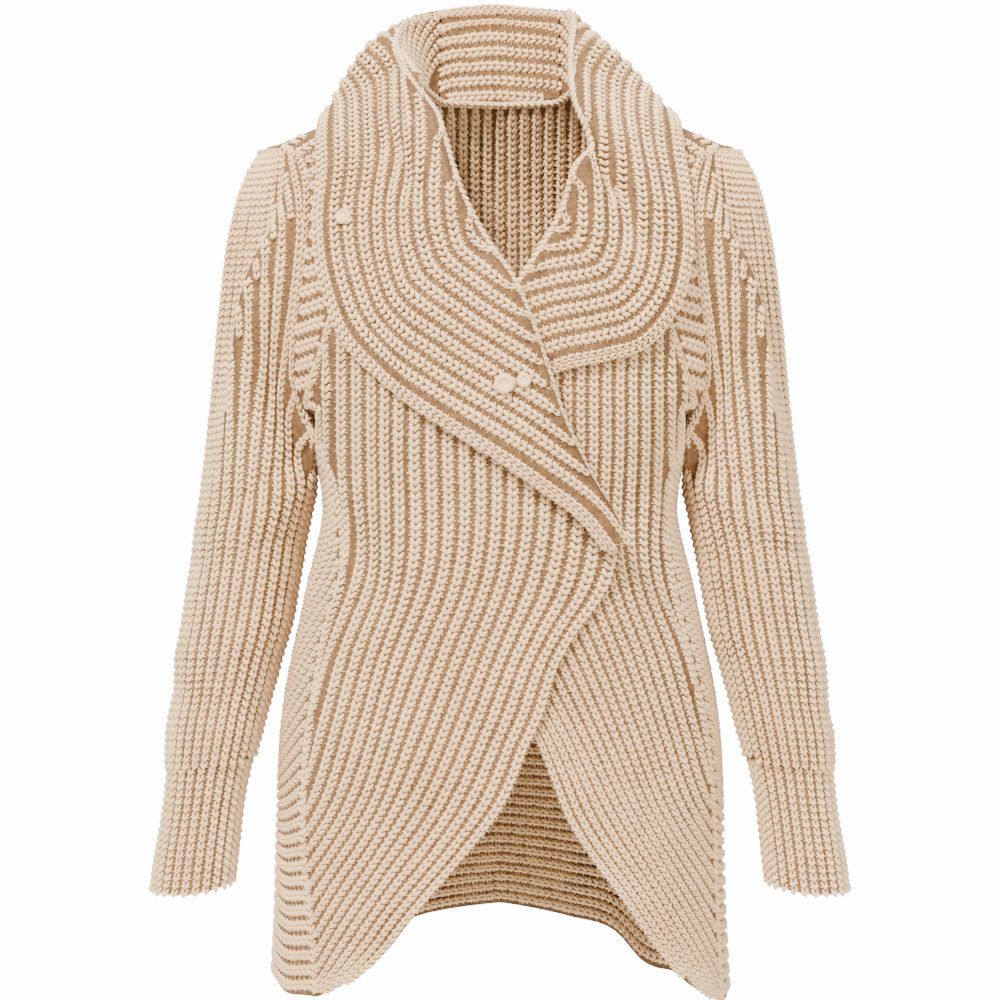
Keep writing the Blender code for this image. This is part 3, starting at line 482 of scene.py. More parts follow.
def collarGrid(side, stations, count):
    rail = collarRails(side, stations)
    roll, edge = np.stack(rail[0:3], -1), np.stack(rail[3:6], -1)
    cling, puff, distance, row = np.clip(rail[6], 0, 1), rail[7], rail[8], rail[9]
    index = stations * (len(rightCollar if side < 0 else leftCollar) - 1)
    front = smoothStep(neckStation + 1.5, frontFold - 1, index)[:, None]
    foot = collarFoot(side, distance, row, index)
    # a lapel that passes under the other front is pressed flat
    open_ = np.ones(len(index))
    if side > 0:
        open_ = smoothStep(-0.002, 0.030, roll[:, 0] - curveAt(rightCollar[neckStation:, [2, 0]], roll[:, 2]))
    rise = rollRadius * (0.40 + 0.60 * open_)
    layer = collarLift(side, roll[:, 0] + side * foldReach, roll[:, 2]) + wall / 2
    rollOn = onBody(roll[:, 0], roll[:, 2], np.zeros(len(roll), bool), layer + rise)[0]
    roll = roll * (1 - front) + rollOn * front
    across = edge - roll
    width = np.linalg.norm(across, axis=1)[:, None]
    t = np.linspace(0, 1, count - 3)[1:][None, :]
    fall = roll[:, None, :] + across[:, None, :] * t[..., None]
    lift = outward(fall)[1]
    up = np.array([0, 0, 1.0])
    swell = (puff[:, None] * np.sin(math.pi * t ** 0.75))[..., None]
    fall = fall + (lift * 0.5 + up * 0.5 * (1 - front[:, None])) * swell * (1 - 0.6 * front[:, None])
    overlap = collarLift(side, fall[..., 0], fall[..., 2])
    shut = 0
    if side > 0:
        past = fall[..., 0] - curveAt(rightCollar[neckStation:, [2, 0]], fall[..., 2])
        shut = 1 - smoothStep(0.0, 0.03, past)
    swell = (2 * rise[:, None] - wall - 0.002) * np.exp(-t * width / 0.022) * (1 - shut)
    off = overlap + wall * 1.5 + 0.0026 + swell
    fall = settle(fall, off, cling[:, None] + 0 * t)
    standLow = foot * 0.75 + roll * 0.25
    standMid = foot * 0.40 + roll * 0.60
    return np.concatenate([foot[:, None], standLow[:, None], standMid[:, None], roll[:, None], fall], axis=1)


# The knit: sizes of the stitches, and how the cloth lies inside the wall
knit = {
    "rowHeight": 0.0060,      # of one stitch along its rib
    "ribPitch": 0.0123,       # from rib to rib where nothing squeezes them
    "baseInner": 0.0004,      # the ground of the knit, from the wall's inner face
    "baseOuter": 0.0014,
    "stitchLift": 0.0024,     # middle of the stitches, from the wall's inner face
    "seed": 7,
    "insideFoot": 0.0018,       # where the stitches of an inner face start, along the outward direction
}

# Creases by piece: from x, z to x, z, then width and depth (+ stands out, - sinks)
creases = {
    "lapel_left": [
        (0.078, -0.024, 0.092, -0.052, 0.0075, -0.0075), (0.092, -0.050, 0.106, -0.085, 0.009, -0.0035),
        (0.066, -0.040, 0.074, -0.085, 0.012, 0.0050), (0.100, -0.015, 0.118, -0.060, 0.014, 0.0040),
        (0.110, -0.120, 0.140, -0.135, 0.016, 0.0015),
    ],
    "lapel_right": [
        (-0.083, -0.022, -0.072, -0.048, 0.011, -0.0050), (-0.060, -0.020, -0.052, -0.080, 0.012, 0.0025),
        (-0.120, -0.040, -0.100, -0.110, 0.020, 0.0020), (0.020, -0.235, 0.060, -0.290, 0.013, -0.0015),
    ],
    "collar_back": [
        (-0.036, 0.085, -0.030, 0.070, 0.007, -0.0020), (0.020, 0.02, 0.030, -0.03, 0.016, 0.0025),
    ],
    "front_right": [
        (-0.105, -0.300, -0.060, -0.360, 0.018, 0.0022), (-0.118, -0.330, -0.070, -0.420, 0.015, -0.0016),
        (-0.070, -0.480, -0.100, -0.640, 0.026, 0.0024), (-0.020, -0.440, -0.050, -0.580, 0.024, -0.0016),
    ],
    "front_left": [
        (0.115, -0.310, 0.080, -0.390, 0.018, 0.0022), (0.060, -0.450, 0.100, -0.620, 0.026, 0.0020),
        (0.120, -0.440, 0.140, -0.600, 0.020, -0.0014),
    ],
    "back_upper": [
        (-0.020, -0.30, -0.120, -0.34, 0.020, 0.0022), (0.030, -0.31, 0.118, -0.35, 0.018, 0.0020),
        (-0.050, -0.06, -0.130, -0.14, 0.024, 0.0018), (0.060, -0.05, 0.128, -0.12, 0.022, 0.0018),
    ],
    "back_lower": [
        (-0.090, -0.46, -0.070, -0.62, 0.028, 0.0026), (0.060, -0.45, 0.085, -0.62, 0.024, 0.0022),
    ],
    "side_right": [(-0.150, -0.33, -0.165, -0.50, 0.020, 0.0012)],
    "side_left": [(0.150, -0.34, 0.168, -0.52, 0.020, 0.0012)],
    "sleeve_right": [
        (-0.165, -0.265, -0.205, -0.300, 0.010, -0.0020), (-0.168, -0.290, -0.215, -0.335, 0.012, 0.0026),
        (-0.180, -0.335, -0.235, -0.350, 0.013, -0.0018), (-0.190, -0.400, -0.250, -0.425, 0.016, 0.0018),
        (-0.215, -0.470, -0.265, -0.455, 0.012, -0.0014), (-0.215, -0.060, -0.200, -0.160, 0.022, 0.0020),
    ],
    "sleeve_left": [
        (0.165, -0.262, 0.208, -0.305, 0.010, -0.0020), (0.168, -0.292, 0.220, -0.325, 0.012, 0.0026),
        (0.184, -0.345, 0.236, -0.338, 0.013, -0.0016), (0.196, -0.410, 0.252, -0.432, 0.016, 0.0018),
        (0.214, -0.462, 0.268, -0.474, 0.012, -0.0014), (0.212, -0.050, 0.204, -0.150, 0.022, 0.0020),
    ],
}


# How far the creases of a piece move its points along their directions
def creaseDepth(name, points):
    depth = np.zeros(points.shape[:-1])
    for x0, z0, x1, z1, width, height in creases.get(name, []):
        along = np.array([x1 - x0, z1 - z0])
        length = np.hypot(*along)
        offset = np.stack([points[..., 0] - x0, points[..., 2] - z0], -1)
        at = offset @ along / length
        across = (offset[..., 0] * along[1] - offset[..., 1] * along[0]) / length
        past = np.maximum(np.maximum(-at, at - length), 0) / 1.6
        depth += height * np.exp(-(across**2 + past**2) / width**2)
    return depth


def woolMesh(name, faces, points):
    mesh = bpy.data.meshes.new(name)
    mesh.from_pydata([tuple(p) for p in points], [], faces)
    mesh.validate()
    made = bpy.data.objects.new(name, mesh)
    bpy.context.scene.collection.objects.link(made)
    shape = bmesh.new()
    shape.from_mesh(mesh)
    bmesh.ops.recalc_face_normals(shape, faces=shape.faces)
    if shape.calc_volume(signed=True) < 0:
        bmesh.ops.reverse_faces(shape, faces=shape.faces)
    shape.to_mesh(mesh)
    shape.free()
    mesh.shade_smooth()
    mesh.set_sharp_from_angle(angle=math.radians(50))
    return made


# A thin closed wall between two grids of points; closed joins the last column to the first
def shellBetween(name, inner, outer, closed=False):
    rows, columns = inner.shape[:2]
    size = rows * columns
    reach = columns if closed else columns - 1
    faces = []
    for r in range(rows - 1):
        for c in range(reach):
            d = (c + 1) % columns
            a, b = r * columns + c, r * columns + d
            e, f = a + columns, b + columns
            faces += [(a, e, f, b), (size + a, size + b, size + f, size + e)]
    last = (rows - 1) * columns
    rim = [(c, (c + 1) % columns) for c in range(reach)]
    rim += [(last + (c + 1) % columns, last + c) for c in range(reach)]
    if not closed:
        rim += [((r + 1) * columns, r * columns) for r in range(rows - 1)]
        rim += [(r * columns + columns - 1, (r + 1) * columns + columns - 1) for r in range(rows - 1)]
    faces += [(a, b, size + b, size + a) for a, b in rim]
    return woolMesh(name, faces, np.vstack([inner.reshape(-1, 3), outer.reshape(-1, 3)]))


# Smooth reading of a grid at fractional rows and columns
def gridAt(grid, r, c, closed=False):
    rows, columns = grid.shape[:2]
    r = np.clip(r, 0, rows - 1.0001)
    c = np.mod(c, columns) if closed else np.clip(c, 0, columns - 1.0001)
    r0, c0 = np.floor(r).astype(int), np.floor(c).astype(int)
    c1 = (c0 + 1) % columns
    tr, tc = (r - r0)[..., None], (c - c0)[..., None]
    top = grid[r0, c0] * (1 - tc) + grid[r0, c1] * tc
    low = grid[r0 + 1, c0] * (1 - tc) + grid[r0 + 1, c1] * tc
    return top * (1 - tr) + low * tr


# Splits a line of points into the stretches to keep
def stretches(points, normals, keep):
    found, start = [], None
    for i, good in enumerate(list(keep) + [False]):
        if good and start is None:
            start = i
        if not good and start is not None:
            if i - start > 2:
                found.append((points[start:i], normals[start:i]))
            start = None
    return found


ribFan = np.array([
    (0.012, 0.127), (-0.254, 0.127), (-0.366, 0.127), (-0.426, 0.149), (-0.484, 0.164), (-0.541, 0.180),
    (-0.617, 0.221), (-0.72, 0.240),
])


# Ribs of a front: they follow the free edge and fan out towards the mitre
def frontRibs(side):
    rows = np.arange(yokeLevel, -0.712, -0.004)
    mitre = mitreRight if side < 0 else mitreLeft
    edge = side * edgeInner(side, rows)
    edge = np.where(rows > -0.05, np.maximum(edge, 0.03), edge)
    level = side * edgeInner(side, np.minimum(rows, -0.350))
    outer = np.where(rows > yokeEnd, curveAt(yokeSeam, rows), curveAt(mitre, rows))
    low = hemRight[0, 1] if side < 0 else hemLeft[0, 1]
    kernel = np.exp(-0.5 * (np.arange(-32, 33) / 13.0) ** 2)
    smoothed = np.convolve(np.pad(level, 32, mode="edge"), kernel / kernel.sum(), mode="valid")
    found = []
    for k in range(30):
        share = (k + 0.42) / 17.5
        guide = level + (smoothed - level) * min(1, share * 3.5)
        reach = guide + share * (curveAt(ribFan, rows) - guide)
        x = side * reach
        z = rowHeight(x, rows, shoulderLine)
        points, normals = onBody(x, z, np.zeros(x.shape, bool), collarLift(side, x, z))
        keep = (reach < outer - 0.003) & (reach > edge + 0.002) & (z > low + 0.003)
        found += stretches(points, normals, keep)
    x = side * (outer - 0.0015)
    z = rowHeight(x, rows, shoulderLine)
    points, normals = onBody(x, z, np.zeros(x.shape, bool), collarLift(side, x, z))
    found += stretches(points, normals, (z > low + 0.003) & (rows < yokeLevel - 0.004))
    return found


def yokeRibs(side):
    found = []
    for level in np.arange(0.05, -0.25, -0.0145):
        u = np.arange(0.117, 0.200, 0.004)
        row = level - 0.30 * (u - 0.12)
        inner, outer = curveAt(yokeSeam, row), curveAt(armholeFront, row)
        x = side * u
        z = rowHeight(x, row, shoulderLine)
        points, normals = onBody(x, z, np.zeros(x.shape, bool), collarLift(side, x, z))
        keep = (u > inner + 0.0015) & (u < outer - 0.002)
        keep &= (row < yokeLevel - 0.003) & (row > yokeEnd + 0.004)
        found += stretches(points, normals, keep)
    return found


def gridRibs(grid, normal, lines, closed=False):
    return [(gridAt(grid, r, c, closed), gridAt(normal, r, c, closed)) for r, c in lines]


def sideRibs(side):
    grid, normal = sideGrid(side, 21, 2)
    lines, r0 = [], -6.0
    while r0 < 32:
        c = np.linspace(0.25, 19.75, 40)
        swing = 6.0 - 5.6 * smoothStep(8, 26, r0)
        r = r0 + swing * (1 - np.abs(c / 10 - 1)) ** 0.8
        keep = (r > 0.15) & (r < 31.7)
        if keep.sum() > 3:
            lines.append((r[keep], c[keep]))
        r0 += 1.18 - 0.33 * smoothStep(10, 24, r0)
    return gridRibs(grid, normal, lines)


def backUpperRibs(inside):
    rows = np.concatenate([chestRows(3), np.linspace(underarm, -0.392, 30)[1:]])
    half = np.where(rows > underarm, curveAt(armholeBack, rows), curveAt(mitreRight, rows))
    found = []
    for x0 in np.arange(-0.1854, 0.19, 0.0103):
        x = np.full(rows.shape, x0)
        z = rowHeight(x, rows, backNeck)
        points, normals = onBody(x, z, np.ones(x.shape, bool))
        keep = (np.abs(x0) < half - 0.003) & (z < backNeck(x) - 0.002)
        if inside:
            keep &= (np.abs(x) < 0.095) & (z > -0.28)
        found += stretches(points + normals * (knit["insideFoot"] if inside else 0),
                           -normals if inside else normals, keep)
    x = np.linspace(-0.070, 0.070, 60)
    points, normals = onBody(x, backNeck(x) + 0.0008, np.ones(x.shape, bool))
    found.append((points + normals * (knit["insideFoot"] if inside else 0), -normals if inside else normals))
    return found


def backLowerRibs(inside):
    grid, normal = backLowerGrid(31, 3)
    if inside:
        grid, normal = grid + normal * knit["insideFoot"], -normal
    rows = grid.shape[0]
    lines = []
    for r in np.arange(1.0, rows - 1.2, 1.15):
        c = np.linspace(0.4, 29.6, 60)
        lines.append((np.full(c.shape, r), c))
    return gridRibs(grid, normal, lines)


def tubeRibs(grid, normal, count, low=0.2):
    rows, columns = grid.shape[:2]
    r = np.linspace(low, rows - 1.2, rows * 3)
    lines = [(r, np.full(r.shape, (k + 0.5) * columns / count)) for k in range(count)]
    return gridRibs(grid, normal, lines, True)


# Ribs of a sleeve run straight up the arm and end at the armhole seam
def sleeveRibs(side, grid, normal, count=27):
    rows, columns = grid.shape[:2]
    faces = []
    for r in range(rows - 1):
        for c in range(columns):
            a, b = r * columns + c, r * columns + (c + 1) % columns
            faces.append((a, b, b + columns, a + columns))
    tree = BVHTree.FromPolygons([Vector(p) for p in grid.reshape(-1, 3)], faces)
    armAxis = np.array([
        (0.00, 0.178, 0.000), (-0.05, 0.182, 0.000), (-0.10, 0.185, 0.001), (-0.15, 0.188, 0.002),
        (-0.20, 0.191, 0.003), (-0.25, 0.1945, 0.004), (-0.303, 0.1995, 0.004), (-0.353, 0.2075, 0.003),
        (-0.402, 0.2155, 0.000), (-0.451, 0.2250, -0.005), (-0.495, 0.2335, -0.010), (-0.52, 0.2375, -0.012),
    ])
    found, family = [], []
    for k in range(2 * count):
        turn = math.pi * (k + 1) / count
        points, normals, keep = [], [], []
        for z in np.arange(0.0, -0.520, -0.005):
            start = Vector((side * curveAt(armAxis, z, 1), curveAt(armAxis, z, 2), z))
            depth = 1.28 - 0.20 * smoothStep(-0.15, 0.0, z)
            way = Vector((side * math.cos(turn), -depth * math.sin(turn), -0.10 * math.cos(turn)))
            way.normalize()
            place, facing = tree.ray_cast(start, way)[:2]
            near = place is not None and (place - start).length < 0.085
            if near and facing.dot(way) < 0:
                facing = -facing
            points.append(place if near else start)
            normals.append(facing if near else way)
            keep.append(near)
        points, normals = np.array([tuple(p) for p in points]), np.array([tuple(n) for n in normals])
        kernel = np.ones(5) / 5
        for axis in range(3):
            normals[:, axis] = np.convolve(np.pad(normals[:, axis], 2, mode="edge"), kernel, mode="valid")
        normals /= np.linalg.norm(normals, axis=1, keepdims=True)
        family.append((points, normals, np.array(keep)))
    for k in range(0, 2 * count, 2):
        points, normals, keep = family[k]
        found += stretches(points, normals, keep)
        # a rib that starts or ends where its neighbours part
        points, normals, keep = family[k + 1]
        after = family[(k + 2) % (2 * count)]
        gap = np.linalg.norm(after[0] - family[k][0], axis=1)
        wide = keep & family[k][2] & after[2] & (gap > 1.14 * knit["ribPitch"])
        found += stretches(points, normals, wide)
    ridge = np.linspace(0, columns - 0.001, 160)
    found.append((gridAt(grid, 0.10 + 0 * ridge, ridge, True), gridAt(normal, 0.6 + 0 * ridge, ridge, True)))
    return found


# Ribs of the collar, at even distances from its free edge and on over the roll
def collarRibs(grid, normal, pitch, rollColumn):
    rows, columns = grid.shape[:2]
    edge = grid[:, -1]
    away = np.zeros((rows, columns))
    for r in range(rows):
        gap = grid[r, rollColumn:, None, :] - edge[None, :, :]
        away[r, rollColumn:] = np.sqrt((gap**2).sum(-1)).min(axis=1)
    for c in range(rollColumn - 1, -1, -1):
        away[:, c] = away[:, c + 1] + np.linalg.norm(grid[:, c + 1] - grid[:, c], axis=-1)
    lines = []
    for k in range(24):
        at = (k + 0.45) * pitch
        r, c = [], []
        for row in range(rows):
            column = away[row][::-1]
            if column.max() > at:
                i = int(np.argmax(column > at))
                share = (at - column[i - 1]) / (column[i] - column[i - 1]) if i else 0
                r.append(row)
                c.append(columns - 1 - (i - 1 + share))
            elif len(r):
                if len(r) > 3:
                    lines.append((np.array(r, float), np.array(c)))
                r, c = [], []
        if len(r) > 3:
            lines.append((np.array(r, float), np.array(c)))
    along = np.linspace(0.5, rows - 1.5, rows)
    lines.append((along, np.full(along.shape, rollColumn - 0.15)))
    lines.append((along, np.full(along.shape, columns - 1.12)))
    return gridRibs(grid, normal, lines)


# Local distance from rib to rib, as a share of the usual pitch
def ribGirths(ribs):
    count = sum(len(p) for p, _ in ribs)
    tree = KDTree(count)
    owner, i = [], 0
    for k, (points, _) in enumerate(ribs):
        for p in points:
            tree.insert(p, i)
            owner.append(k)
            i += 1
    tree.balance()
    girths = []
    for k, (points, _) in enumerate(ribs):
        own = []
        for p in points[::2]:
            near = [d for _, j, d in tree.find_n(p, 14) if owner[j] != k]
            own.append(near[0] if near else knit["ribPitch"])
        own = np.interp(np.arange(len(points)), np.arange(0, len(points), 2), own)
        girths.append(np.clip(own / knit["ribPitch"], 0.62, 1.30))
    return girths


# One stitch: two plump legs in a V and a low purl bar across the valley, in few faces
def stitchShape():
    legs = {"reach": 0.0022, "half": 0.0049, "tilt": -0.50, "thick": 0.0020, "high": 0.0021, "rise": 0.0007}
    bar = {"reach": 0.0056, "thick": 0.0012, "drop": 0.0014, "along": 0.0012}
    points, faces = [], []
    n = 4
    for side in (-1, 1):
        start = len(points)
        for t, fat in ((-1.0, 0.0), (-0.42, 0.90), (0.42, 1.06), (1.0, 0.0)):
            y = t * legs["half"]
            x = side * (legs["reach"] + math.tan(legs["tilt"]) * y * 0.62)
            z = legs["rise"] * t - 0.0006 * (1 - t) * (1 - t)
            for k in range(n if fat else 1):
                turn = 2 * math.pi * k / n
                points.append((
                    x + legs["thick"] * fat * math.cos(turn), y, z + legs["high"] * fat * math.sin(turn),
                ))
        low, top = start + 1, start + 1 + n
        for k in range(n):
            j = (k + 1) % n
            faces.append((start, low + k, low + j))
            faces.append((low + k, top + k, top + j, low + j))
            faces.append((top + k, top + n, top + j))
    start = len(points)
    for end in (-1, 1):
        for k in range(3):
            turn = math.pi / 2 + 2 * math.pi * k / 3
            points.append((
                end * bar["reach"], bar["along"] + bar["thick"] * math.cos(turn),
                bar["thick"] * math.sin(turn) - bar["drop"],
            ))
    faces += [(start + k, start + (k + 1) % 3, start + 3 + (k + 1) % 3, start + 3 + k) for k in range(3)]
    faces += [(start, start + 2, start + 1), (start + 3, start + 4, start + 5)]
    made = woolMesh("stitchShape", faces, points)
    made.data.set_sharp_from_angle(angle=math.pi)
    return made


def stitchTree():
    tree = bpy.data.node_groups.new("ribStitches", "GeometryNodeTree")
    kinds = {"Ribs": "Geometry", "Stitch": "Object", "Row height": "Float", "Yarn": "Material"}
    for label, kind in kinds.items():
        tree.interface.new_socket(label, in_out="INPUT", socket_type="NodeSocket" + kind)
    tree.interface.new_socket("Stitches", in_out="OUTPUT", socket_type="NodeSocketGeometry")
    given = tree.nodes.new("NodeGroupInput")
    result = tree.nodes.new("NodeGroupOutput")

    def step(kind, settings, inputs):
        node = tree.nodes.new(kind)
        for key, value in settings.items():
            setattr(node, key, value)
        for key, value in inputs.items():
            if hasattr(value, "is_output"):
                tree.links.new(value, node.inputs[key])
            else:
                node.inputs[key].default_value = value
        return node

    curve = step("GeometryNodeMeshToCurve", {}, {"Mesh": given.outputs["Ribs"]})
    spaced = step("GeometryNodeResampleCurve", {"mode": "LENGTH"}, {
        "Curve": curve.outputs["Curve"], "Length": given.outputs["Row height"]})
    lift = step("GeometryNodeInputNamedAttribute", {"data_type": "FLOAT_VECTOR"}, {"Name": "lift"})
    girth = step("GeometryNodeInputNamedAttribute", {"data_type": "FLOAT"}, {"Name": "girth"})
    tangent = step("GeometryNodeInputTangent", {}, {})
    turned = step("FunctionNodeAxesToRotation", {"primary_axis": "Z", "secondary_axis": "Y"}, {
        "Primary Axis": lift.outputs["Attribute"], "Secondary Axis": tangent.outputs["Tangent"]})
    wobble = step("FunctionNodeRandomValue", {"data_type": "FLOAT_VECTOR"}, {
        0: (-0.07, -0.04, -0.08), 1: (0.07, 0.04, 0.08), "Seed": knit["seed"]})
    uneven = step("FunctionNodeRandomValue", {"data_type": "FLOAT"}, {
        2: 0.94, 3: 1.07, "Seed": knit["seed"] + 1})
    tilted = step("FunctionNodeRotateRotation", {"rotation_space": "LOCAL"}, {
        "Rotation": turned.outputs["Rotation"], "Rotate By": wobble.outputs["Value"]})
    wide = step("ShaderNodeMath", {"operation": "MULTIPLY"}, {
        0: girth.outputs["Attribute"], 1: uneven.outputs[1]})
    scale = step("ShaderNodeCombineXYZ", {}, {
        "X": wide.outputs[0], "Y": uneven.outputs[1], "Z": uneven.outputs[1]})
    shape = step("GeometryNodeObjectInfo", {}, {"Object": given.outputs["Stitch"]})
    placed = step("GeometryNodeInstanceOnPoints", {}, {
        "Points": spaced.outputs["Curve"], "Instance": shape.outputs["Geometry"],
        "Rotation": tilted.outputs["Rotation"], "Scale": scale.outputs["Vector"]})
    real = step("GeometryNodeRealizeInstances", {}, {"Geometry": placed.outputs["Instances"]})
    wool = step("GeometryNodeSetMaterial", {}, {
        "Geometry": real.outputs["Geometry"], "Material": given.outputs["Yarn"]})
    tree.links.new(wool.outputs[0], result.inputs["Stitches"])
    return tree


# The stitches of one piece, from its rib lines
def makeStitches(name, ribs, lift, material):
    points, edges, lifts, girthList = [], [], [], []
    for (line, normals), girth in zip(ribs, ribGirths(ribs)):
        start = len(points)
        moved = line + normals * (lift + creaseDepth(name, line))[:, None]
        points += [tuple(p) for p in moved]
        lifts.append(normals)
        girthList.append(girth)
        edges += [(start + i, start + i + 1) for i in range(len(line) - 1)]
    mesh = bpy.data.meshes.new(name + "_ribs")
    mesh.from_pydata(points, edges, [])
    mesh.attributes.new("lift", "FLOAT_VECTOR", "POINT").data.foreach_set("vector", np.vstack(lifts).ravel())
    mesh.attributes.new("girth", "FLOAT", "POINT").data.foreach_set("value", np.concatenate(girthList))
    ribObject = bpy.data.objects.new(name + "_ribs", mesh)
    bpy.context.scene.collection.objects.link(ribObject)
    modifier = ribObject.modifiers.new("stitches", "NODES")
    modifier.node_group = ribTree
    sockets = {s.name: s.identifier for s in ribTree.interface.items_tree if s.in_out == "INPUT"}
    modifier[sockets["Stitch"]] = stitch
    modifier[sockets["Row height"]] = knit["rowHeight"]
    modifier[sockets["Yarn"]] = material
    graph = bpy.context.evaluated_depsgraph_get()
    made = bpy.data.meshes.new_from_object(ribObject.evaluated_get(graph), depsgraph=graph)
    bpy.data.objects.remove(ribObject)
    piece = bpy.data.objects.new(name + "_stitches", made)
    bpy.context.scene.collection.objects.link(piece)
    return piece


# A socket that can be used in sums
class Wire:
    def __init__(self, tree, socket):
        self.tree, self.socket = tree, socket

    def maths(self, other, operation, flip=False):
        node = self.tree.nodes.new("ShaderNodeMath")
        node.operation = operation
        first, second = (other, self) if flip else (self, other)
        for i, value in enumerate((first, second)):
            if isinstance(value, Wire):
                self.tree.links.new(value.socket, node.inputs[i])
            else:
                node.inputs[i].default_value = value
        return Wire(self.tree, node.outputs[0])

    def __add__(self, other):
        return self.maths(other, "ADD")

    def __radd__(self, other):
        return self.maths(other, "ADD", True)

    def __sub__(self, other):
        return self.maths(other, "SUBTRACT")

    def __rsub__(self, other):
        return self.maths(other, "SUBTRACT", True)

    def __mul__(self, other):
        return self.maths(other, "MULTIPLY")

    def __rmul__(self, other):
        return self.maths(other, "MULTIPLY", True)


def addNode(tree, kind, settings, inputs):
    node = tree.nodes.new(kind)
    for key, value in settings.items():
        setattr(node, key, value)
    for key, value in inputs.items():
        if isinstance(value, Wire):
            tree.links.new(value.socket, node.inputs[key])
        else:
            node.inputs[key].default_value = value
    return node


# Wool: mottled yarn with a fine twist and fibres that stand up
def woolMaterial(name, look):
    material = bpy.data.materials.new(name)
    material.use_nodes = True
    tree = material.node_tree
    shader = tree.nodes["Principled BSDF"]
    place = Wire(tree, addNode(tree, "ShaderNodeTexCoord", {}, {}).outputs["Object"])

    def noise(scale, detail):
        node = addNode(tree, "ShaderNodeTexNoise", {}, {"Vector": place, "Scale": scale, "Detail": detail})
        return Wire(tree, node.outputs["Fac"])

    soft, yarn, fibre = noise(look["patches"], 2.0), noise(look["yarn"], 3.0), noise(look["fibre"], 4.0)
    tone = soft * look["patchShare"] + yarn * look["yarnShare"] + fibre * look["fibreShare"]
    colours = addNode(tree, "ShaderNodeValToRGB", {}, {"Fac": tone})
    ramp = colours.color_ramp
    ramp.elements[0].position, ramp.elements[1].position = 0.30, 0.68
    ramp.elements[0].color, ramp.elements[1].color = look["deep"], look["light"]
    tree.links.new(colours.outputs["Color"], shader.inputs["Base Color"])
    rough = fibre * 0.15 + 0.80
    tree.links.new(rough.socket, shader.inputs["Roughness"])
    bump = addNode(tree, "ShaderNodeBump", {}, {
        "Height": yarn * 0.6 + fibre * 0.4, "Strength": look["bump"], "Distance": 0.0007})
    tree.links.new(bump.outputs["Normal"], shader.inputs["Normal"])
    shader.inputs["Sheen Weight"].default_value = look["sheen"]
    shader.inputs["Sheen Roughness"].default_value = 0.45
    shader.inputs["Specular IOR Level"].default_value = 0.20
    return material


stitchLook = {
    "patches": 14.0, "yarn": 520.0, "fibre": 1900.0,
    "patchShare": 0.30, "yarnShare": 0.40, "fibreShare": 0.30,
    "deep": (0.700, 0.425, 0.185, 1), "light": (0.945, 0.690, 0.395, 1), "bump": 0.60, "sheen": 0.05,
}
# Ground of the knit: its very dark brown is painted shade, standing in for the shadow in the valleys and
# holes between the cream stitches
shadedGroundLook = {
    "patches": 14.0, "yarn": 260.0, "fibre": 1500.0,
    "patchShare": 0.15, "yarnShare": 0.60, "fibreShare": 0.25,
    "deep": (0.070, 0.030, 0.010, 1), "light": (0.240, 0.125, 0.048, 1), "bump": 0.90, "sheen": 0.02,
}
buttonLook = dict(stitchLook, yarn=900.0, bump=0.8)
stitchWool = woolMaterial("creamStitches", stitchLook)
shadedGroundWool = woolMaterial("ribGroundPaintedShade", shadedGroundLook)
buttonWool = woolMaterial("buttonYarn", buttonLook)
stitch = stitchShape()
ribTree = stitchTree()
print("wool and stitch made")


# The ground shell and the stitches of one piece, told to the frame
def finishPiece(name, inner, normal, ribs, closed=False, innerRibs=None):
    depth = creaseDepth(name, inner)[..., None]
    low = inner + normal * (knit["baseInner"] + depth)
    high = inner + normal * (knit["baseOuter"] + depth)
    piece = shellBetween(name + "_knit", low, high, closed)
    # the ground shell takes the painted-shade colour of the valleys between the ribs
    piece.data.materials.append(shadedGroundWool)
    stitches = makeStitches(name, ribs, knit["stitchLift"], stitchWool)
    if innerRibs is not None:
        second = makeStitches(name, innerRibs, knit["stitchLift"], stitchWool)
        second.name = name + "_inner_stitches"
        parts = [stitches, second]
    else:
        parts = [stitches]
    for part in [piece] + parts:
        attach(part, "root")
    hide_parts(name)
    return piece


# The grid of a piece with both its side edges carried on under its neighbours
def tucked(grid, normal):
    edges = []
    for end, beside in ((0, 1), (-1, -2)):
        way = grid[:, end] - grid[:, beside]
        way /= np.linalg.norm(way, axis=1, keepdims=True)
        edges.append((grid[:, end] + way * 0.0035 - normal[:, end] * 0.0014)[:, None])
    return (np.concatenate([edges[0], grid, edges[1]], axis=1),
            np.concatenate([normal[:, :1], normal, normal[:, -1:]], axis=1))


for side, word in ((-1, "right"), (1, "left")):
    finishPiece("front_" + word, *frontGrid(side, 31, 3), frontRibs(side))
    finishPiece("yoke_" + word, *yokeGrid(side, 11, 3), yokeRibs(side))
    finishPiece("side_" + word, *tucked(*sideGrid(side, 21, 2)), sideRibs(side))
    print("front, yoke and side", word)
finishPiece("back_upper", *backUpperGrid(41, 2), backUpperRibs(False), innerRibs=backUpperRibs(True))
finishPiece("back_lower", *backLowerGrid(41, 2), backLowerRibs(False), innerRibs=backLowerRibs(True))
print("backs")

